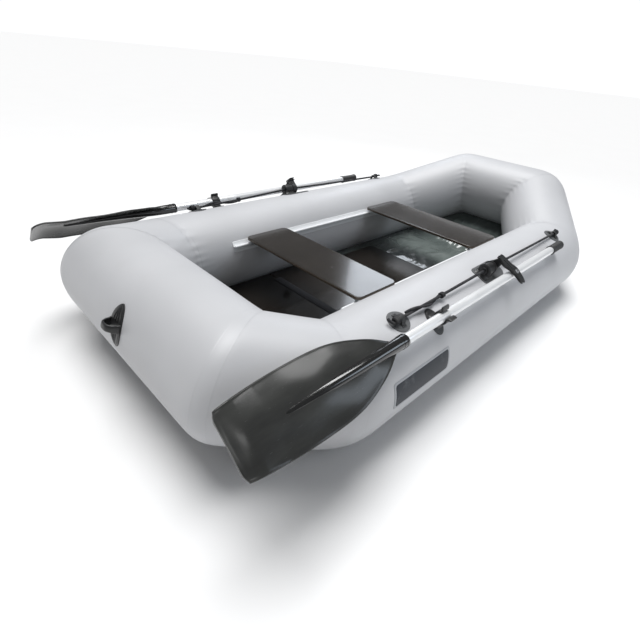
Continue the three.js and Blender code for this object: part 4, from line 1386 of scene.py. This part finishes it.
def clip_section():
    mouth = 0.62
    middle = CLIP_INNER + CLIP_WALL / 2
    arc = [(middle * sin(a), middle * cos(a)) for a in np.linspace(mouth, 2 * pi - mouth, 46)]
    lip = [(0.0240, 0.0270), (0.0190, 0.0230), (0.0146, 0.0192)]
    line = np.array(lip + arc[2:-2] + [(-y, z) for y, z in reversed(lip)])
    ahead = directions(line)
    side = np.stack([-ahead[:, 1], ahead[:, 0]], 1)
    run = np.linspace(-1, 1, len(line))
    wall = (CLIP_WALL / 2) * (1 + 0.12 * np.clip(np.abs(run) - 0.75, 0, 1) / 0.25)
    wall[[0, -1]] *= 0.55
    return np.vstack([line + side * wall[:, None], (line - side * wall[:, None])[::-1]])


def clip_arms():
    half = CLIP_LONG / 2
    stations = [CLIP_X - half, CLIP_X - half + 0.0006, CLIP_X - half + 0.002, CLIP_X + half - 0.002,
                CLIP_X + half - 0.0006, CLIP_X + half]
    section = clip_section()
    middle = section.mean(0)
    rings = []
    for x, ease in zip(stations, (0.965, 0.985, 1, 1, 0.985, 0.965)):
        rings.append(by_shaft(at_station(x, middle + (section - middle) * ease)))
    count = len(section)
    faces = grid_faces(len(rings), count)
    for j in range(count // 2 - 1):
        a, b, c, d = j, j + 1, count - 2 - j, count - 1 - j
        faces.append((a, b, c, d))
        base = (len(rings) - 1) * count
        faces.append((base + d, base + c, base + b, base + a))
    arms = outward(np.vstack(rings), faces)
    drop = SHAFT_REACH - TUBE_R - 0.003
    stem_rings = []
    for height, half_x, half_y in ((-drop, 0.0225, 0.026), (-drop + 0.002, 0.0225, 0.026),
                                   (-drop + 0.0045, 0.0185, 0.0185), (-drop + 0.010, 0.0168, 0.0135),
                                   (-0.0185, 0.0166, 0.0140), (-0.0155, 0.0160, 0.0125)):
        outline = rounded_rect(CLIP_X - half_x, CLIP_X + half_x, -half_y, half_y, min(half_x, half_y) * 0.6)
        level = np.full(len(outline), height)
        if height < -0.024:
            level = np.sqrt((TUBE_R + height + drop + 0.003) ** 2 - outline[:, 1] ** 2) - SHAFT_REACH
        stem_rings.append(by_shaft(at_height(outline, level)))
    return merged(arms, outward(*loft(stem_rings)))


clip_layers = [(ellipse(CLIP_X, 0.0275, 0.0455), 0.0022), (ellipse(CLIP_X, 0.0245, 0.0415), 0.0031)]
clip_pad = pad_stack(clip_layers, lambda p: on_tube(p, SHAFT_ANGLE))
pair("clip_base_{}", *clip_pad, RUBBER, "hull", "oar_clip_pad_{}", "black_rubber")
pair("clip_spring_{}", *clip_arms(), RUBBER, "hull", "oar_clip_arms_{}", "black_rubber")


# LACING EYES. A round patch with a loop of black strap stitched across it, one for each end
# of each rope.
EYE_PATCH_R = 0.038
STRAP_HALF, STRAP_THICK = 0.0088, 0.0026
STRAP = material("strap_rubber", rubber_look((0.016, 0.0165, 0.0175), 0.5))


def lacing_eye(x):
    layers = [(ellipse(x, radius, radius, 96), thick)
              for radius, thick in ((EYE_PATCH_R, 0.0020), (EYE_PATCH_R * 0.72, 0.0032))]
    return pad_stack(layers, lambda p: on_tube(p, ROPE_ANGLE))


def over_arch(half, crown):
    """Both sides of an arch, from one foot's (across, out) points and the crown's height."""
    return half + [(0, crown)] + [(-across, out) for across, out in reversed(half)]


def eye_strap(x):
    """A flat band of strap that stands up in a loop for the rope's end."""
    foot = [(-0.0245, 0.0040), (-0.0185, 0.0048), (-0.0125, 0.0120), (-0.0062, 0.0192)]
    arch = smooth_line([(x, across, out) for across, out in over_arch(foot, 0.0212)], 0.0016)
    section = rounded_rect(-STRAP_HALF, STRAP_HALF, -STRAP_THICK / 2, STRAP_THICK / 2,
                           STRAP_THICK * 0.45, 4)
    wide = np.array((1.0, 0, 0))
    rings = [point + section[:, :1] * wide + section[:, 1:] * np.cross(tangent, wide)
             for point, tangent in zip(arch, directions(arch))]
    return outward(*loft([on_tube(ring, ROPE_ANGLE) for ring in rings]))


for name, x in (("aft", EYE_AFT), ("fore", EYE_FORE)):
    pair(f"eye_patch_{name}_{{}}", *lacing_eye(x), PATCH, "hull", f"lacing_eye_{name}_{{}}", "patch_pvc")
    pair(f"eye_strap_{name}_{{}}", *eye_strap(x), STRAP, "hull", None, "black_rubber")


# TOW HANDLES. A leaf-shaped rubber moulding glued across the middle of the stern and the bow
# tube, with a thick loop standing out of it to grip.
HANDLE_ANGLE = 20
HANDLE_OFF = {"stern": -0.035, "bow": 0.0}
LEAF_HALF, LEAF_RAISED_HALF = (0.0335, 0.0655), (0.0295, 0.0600)
LOOP_HALF, LOOP_CROWN = 0.030, 0.0318


def on_end(way):
    """Bend (across, up the slope, out) points round the stern (-1) or the bow (1) tube."""
    x0 = STERN_X if way < 0 else STERN_X + BOW_LENGTH
    z0 = TUBE_R + (STERN_RISE if way < 0 else BOW_RISE)
    off = HANDLE_OFF["stern" if way < 0 else "bow"]

    def bend(points):
        across, slope, out = np.asarray(points, float).T
        a = radians(HANDLE_ANGLE) + slope / TUBE_R
        reach = TUBE_R + out
        return np.stack([x0 + way * reach * np.cos(a), off + way * across, z0 + reach * np.sin(a)], 1)
    return bend


def leaf(half_wide, half_long):
    t = np.arange(80) * 2 * pi / 80
    return np.stack([half_wide * np.sign(np.cos(t)) * np.abs(np.cos(t)) ** 1.25, half_long * np.sin(t)], 1)


def handle_loop(bend):
    """A flat grip that arches along the tube, spreading into a foot at each end."""
    foot = [(-LOOP_HALF, 0.0025), (-0.0272, 0.0080), (-0.0235, 0.0190), (-0.0140, 0.0295)]
    arch = smooth_line([(across, 0, out) for across, out in over_arch(foot, LOOP_CROWN)], 0.0013)
    section = np.sign(circle(28)) * np.abs(circle(28)) ** 0.75
    wide = np.array((0, 1.0, 0))
    rings = []
    for point, tangent in zip(arch, directions(arch)):
        share = abs(point[0]) / LOOP_HALF
        half, thick = 0.0088 + 0.006 * share ** 6, 0.0036 + 0.001 * share ** 4
        up = np.cross(tangent, wide)
        rings.append(bend(point + section[:, :1] * half * wide + section[:, 1:] * thick * up))
    return outward(*loft(rings))


def handle_ridges(bend):
    """Raised ribs that run from the grip's feet into both points of the leaf."""
    parts = []
    for way in (-1, 1):
        for across in (-0.011, 0, 0.011):
            route = [(1.2, 0.013, 0.0040), (1, 0.026, 0.0046), (0.55, 0.042, 0.0042), (0.2, 0.054, 0.0036)]
            line = smooth_line([(across * share, way * slope, out) for share, slope, out in route], 0.002)
            parts.append(outward(*placed(loft(sweep(line, lambda i: circle(10, 0.0016))), bend)))
    return merged(*parts)


for name, way in (("stern", -1), ("bow", 1)):
    bend = on_end(way)
    layers = [(leaf(*LEAF_HALF), 0.0026), (leaf(*LEAF_RAISED_HALF), 0.0041)]
    leaf_pad = merged(pad_stack(layers, bend), handle_ridges(bend))
    piece(f"{name}_tow_pad", *leaf_pad, RUBBER, "hull", [f"{name}_handle_patch"], "black_rubber")
    piece(f"{name}_tow_loop", *handle_loop(bend), RUBBER, "hull", [f"{name}_handle"], "black_rubber")


# VALVES. One for each air chamber, low on the inside of each side tube. A moulded boss is
# welded through the cloth, with a sprung plunger in it and a screw cap tied on by a strap.
VALVE_X = 0.725
VALVE_PUSH = 0.004
WELT_R = 0.030
SPRING_LOW, SPRING_HIGH = -0.00795, -0.0019


def by_valve(points):
    """Stand (along, down, out) points on the inside of the starboard tube."""
    along, down, out = np.asarray(points, float).T
    return np.stack([STERN_X + VALVE_X + along, TUBE_R - HALF_BEAM + out, TUBE_R - down], 1)


def valve_boss():
    wall = [(0.0100, -0.024), (0.0130, -0.024), (0.0130, 0.0000), (0.0210, 0.0002), (0.0212, 0.0012),
            (0.0200, 0.0026), (0.0165, 0.0034), (0.0150, 0.0044), (0.0150, 0.0064), (0.0145, 0.0070),
            (0.0104, 0.0070), (0.0100, 0.0066), (0.0100, -0.008), (0.0036, -0.008), (0.0034, -0.0105),
            (0.0100, -0.0107)]
    return outward(*turned_ring(wall, 56))


def valve_plunger():
    profile = [(0.0002, -0.022), (0.0083, -0.022), (0.0085, -0.0215), (0.0085, -0.0198), (0.0080, -0.0195),
               (0.0030, -0.0195), (0.0030, -0.0018), (0.0058, -0.0015), (0.0060, -0.0012), (0.0060, 0.0004),
               (0.0056, 0.0008), (0.0002, 0.0008)]
    return outward(*loft(turned_shape(profile, 40)))


def valve_spring():
    steps = np.linspace(0, 1, 260)
    turns, radius, wire = 4, 0.0046, 0.0002
    angle = steps * turns * 2 * pi
    rise = SPRING_HIGH - SPRING_LOW - 2 * wire
    coil = np.stack([radius * np.cos(angle), radius * np.sin(angle), SPRING_LOW + wire + rise * steps], 1)
    return outward(*loft(sweep(coil, lambda i: circle(8, wire))))


def valve_cap():
    profile = [(0.0002, 0.0082), (0.0156, 0.0082), (0.0156, 0.0046), (0.0186, 0.0046), (0.0190, 0.0052),
               (0.0190, 0.0104), (0.0182, 0.0113), (0.0165, 0.0115), (0.0155, 0.0109), (0.0002, 0.0109)]

    def knurl(k, a):
        return 1 - (0.035 * (0.5 + 0.5 * np.cos(a * 30)) if k in (4, 5) else 0 * a)

    bar = slab(rounded_rect(-0.0150, 0.0150, -0.0025, 0.0025, 0.0022), 0.0106, 0.0155, 0.0010)
    return merged(outward(*loft(turned_shape(profile, 120, knurl))), outward(*bar))


def valve_strap():
    line = smooth_line([(0.0205, 0, 0.0028), (0.0250, 0.001, 0.0030), (0.0275, 0.006, 0.0035),
                        (0.0262, 0.012, 0.0048), (0.0215, 0.0150, 0.0062)], 0.0012)
    return outward(*loft(sweep(line, lambda i: circle(12) * (0.0022, 0.0011))))


VALVE = material("valve_plastic", rubber_look((0.018, 0.0185, 0.021), 0.3), Coat_Weight=0.2)
WELT = material("valve_patch", pvc_look((0.45, 0.465, 0.51)))
welt = slab(circle(64, WELT_R), -0.0010, 0.0008, 0.0004)
pair("valve_welt_{}", *placed(outward(*welt), by_valve), WELT, "hull", None, "patch_pvc")
pair("valve_boss_{}", *placed(merged(valve_boss(), valve_strap()), by_valve), VALVE, "hull",
     "valve_body_{}", "valve_plastic")
springs = pair("valve_spring_{}", *placed(valve_spring(), by_valve), STEEL, "hull", None, "bolt_steel")
pair("valve_stem_{}", *placed(valve_plunger(), by_valve), VALVE, "plunger_{}", "valve_plunger_{}",
     "valve_plastic")
pair("valve_lid_{}", *placed(valve_cap(), by_valve), VALVE, "cap_{}", "valve_cap_{}", "valve_plastic")
for side, sign in SIDES.items():
    x, y, z = by_valve([(0, 0, SPRING_LOW)])[0]
    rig.squash(springs[side], f"plunger_push_{side}", axis=(0, 1, 0), anchor=(x, -sign * y, z),
              keep=(SPRING_HIGH - SPRING_LOW - VALVE_PUSH) / (SPRING_HIGH - SPRING_LOW))


# SIDE PATCHES. A plain rectangle of printed cloth welded low on the outside of each side
# tube near the stern, with a lighter border and nothing on it.
def badge_look(tint, shine):
    def build():
        print_grain = speckle(900, 2)
        wear = speckle(25, 5, 0.6).band(0.55, 0.8)
        printed = mix(print_grain, tint, tuple(c * 1.3 for c in tint))
        return {
            "Base Color": mix(wear * 0.3, printed, (0.3, 0.31, 0.33)),
            "Roughness": shine + wear * 0.2,
            "Normal": bump(print_grain, 0.0001, 0.5),
        }
    return build


BORDER = material("patch_border", badge_look((0.30, 0.31, 0.33), 0.35))
FIELD = material("patch_field", badge_look((0.020, 0.024, 0.032), 0.5), Specular_IOR_Level=0.3)
BADGE_X, BADGE_ANGLE = 0.425, 10
BADGE_LAYERS = {
    "border": (0.140, 0.042, 0.0010, BORDER, "side_badge_{}"),
    "field": (0.133, 0.035, 0.0014, FIELD, None),
}
for name, (half, slope, thick, look, node) in BADGE_LAYERS.items():
    outline = dense(rounded_rect(BADGE_X - half, BADGE_X + half, -slope, slope, 0.008))
    shape = pad(outline, thick, lambda p: on_tube(p, BADGE_ANGLE))
    pair(f"side_patch_{name}_{{}}", *shape, look, "hull", node, "badge")


# FLOOR AND LIGHT. A plain pale floor in white air, broad soft light from high up, and four
# soft boxes for the glints on the benches, the oar blades and the starboard side.
def floor_look():
    return {"Base Color": mix(speckle(2, 2), (0.79, 0.79, 0.79), (0.81, 0.81, 0.81))}


floor_mesh = bpy.data.meshes.new("studio_floor")
FLOOR_HALF = 60
floor_corners = [(x * FLOOR_HALF, y * FLOOR_HALF, 0) for x, y in ((-1, -1), (1, -1), (1, 1), (-1, 1))]
floor_mesh.from_pydata(floor_corners, [], [(0, 1, 2, 3)])
floor = bpy.data.objects.new("studio_floor", floor_mesh)
bpy.context.collection.objects.link(floor)
floor_mesh.materials.append(material("studio_paper", floor_look, Roughness=0.9, Specular_IOR_Level=0.1))
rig.stage(floor)


def light(name, kind, place, aim, energy, **settings):
    data = bpy.data.lights.new(name, kind)
    data.energy = energy
    for key, value in settings.items():
        setattr(data, key, value)
    made = bpy.data.objects.new(name, data)
    bpy.context.collection.objects.link(made)
    made.location = place
    made.rotation_euler = (Vector(aim) - Vector(place)).to_track_quat("-Z", "Y").to_euler()


light("broad_sky", "SUN", (0.3, 1.2, 5.0), (0, 0, 0), 3.35, angle=radians(38))
SOFT_BOXES = {
    "bench_box": ((2.55, 1.8, 2.2), (-0.4, -0.1, 0.3), 13, (0.9, 0.9), (0.86, 0.92, 1.0)),
    "blade_box": ((0.6, -0.41, 2.9), (-1.1, -0.6, 0.3), 16, (1.5, 0.3), (1.0, 1.0, 1.0)),
    "side_box": ((0.8, -2.4, 1.3), (-0.9, -0.6, 0.3), 8, (0.9, 0.8), (0.78, 0.88, 1.0)),
    "tip_box": ((-1.85, -2.45, 2.6), (-1.25, -0.62, 0.35), 3, (0.5, 0.3), (1.0, 1.0, 1.0)),
}
for name, (place, aim, energy, (wide, deep), color) in SOFT_BOXES.items():
    light(name, "AREA", place, aim, energy, shape="RECTANGLE", size=wide, size_y=deep, color=color)
world = bpy.data.worlds.new("studio_air")
bpy.context.scene.world = world
world.use_nodes = True
Socket.tree = world.node_tree
air = world.node_tree.nodes["Background"]
air.inputs["Color"].default_value = (0.97, 0.98, 1.0, 1)
seen = Socket.node("ShaderNodeLightPath")
world.node_tree.links.new((0.2 + 0.85 * seen).output, air.inputs["Strength"])
bpy.context.scene.view_settings.view_transform = "Standard"

with open("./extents.json", "w") as out:
    boxes = {"cad": cad_box, "visual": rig.bounds()}
    json.dump({key: [[float(x) for x in corner] for corner in box] for key, box in boxes.items()}, out)
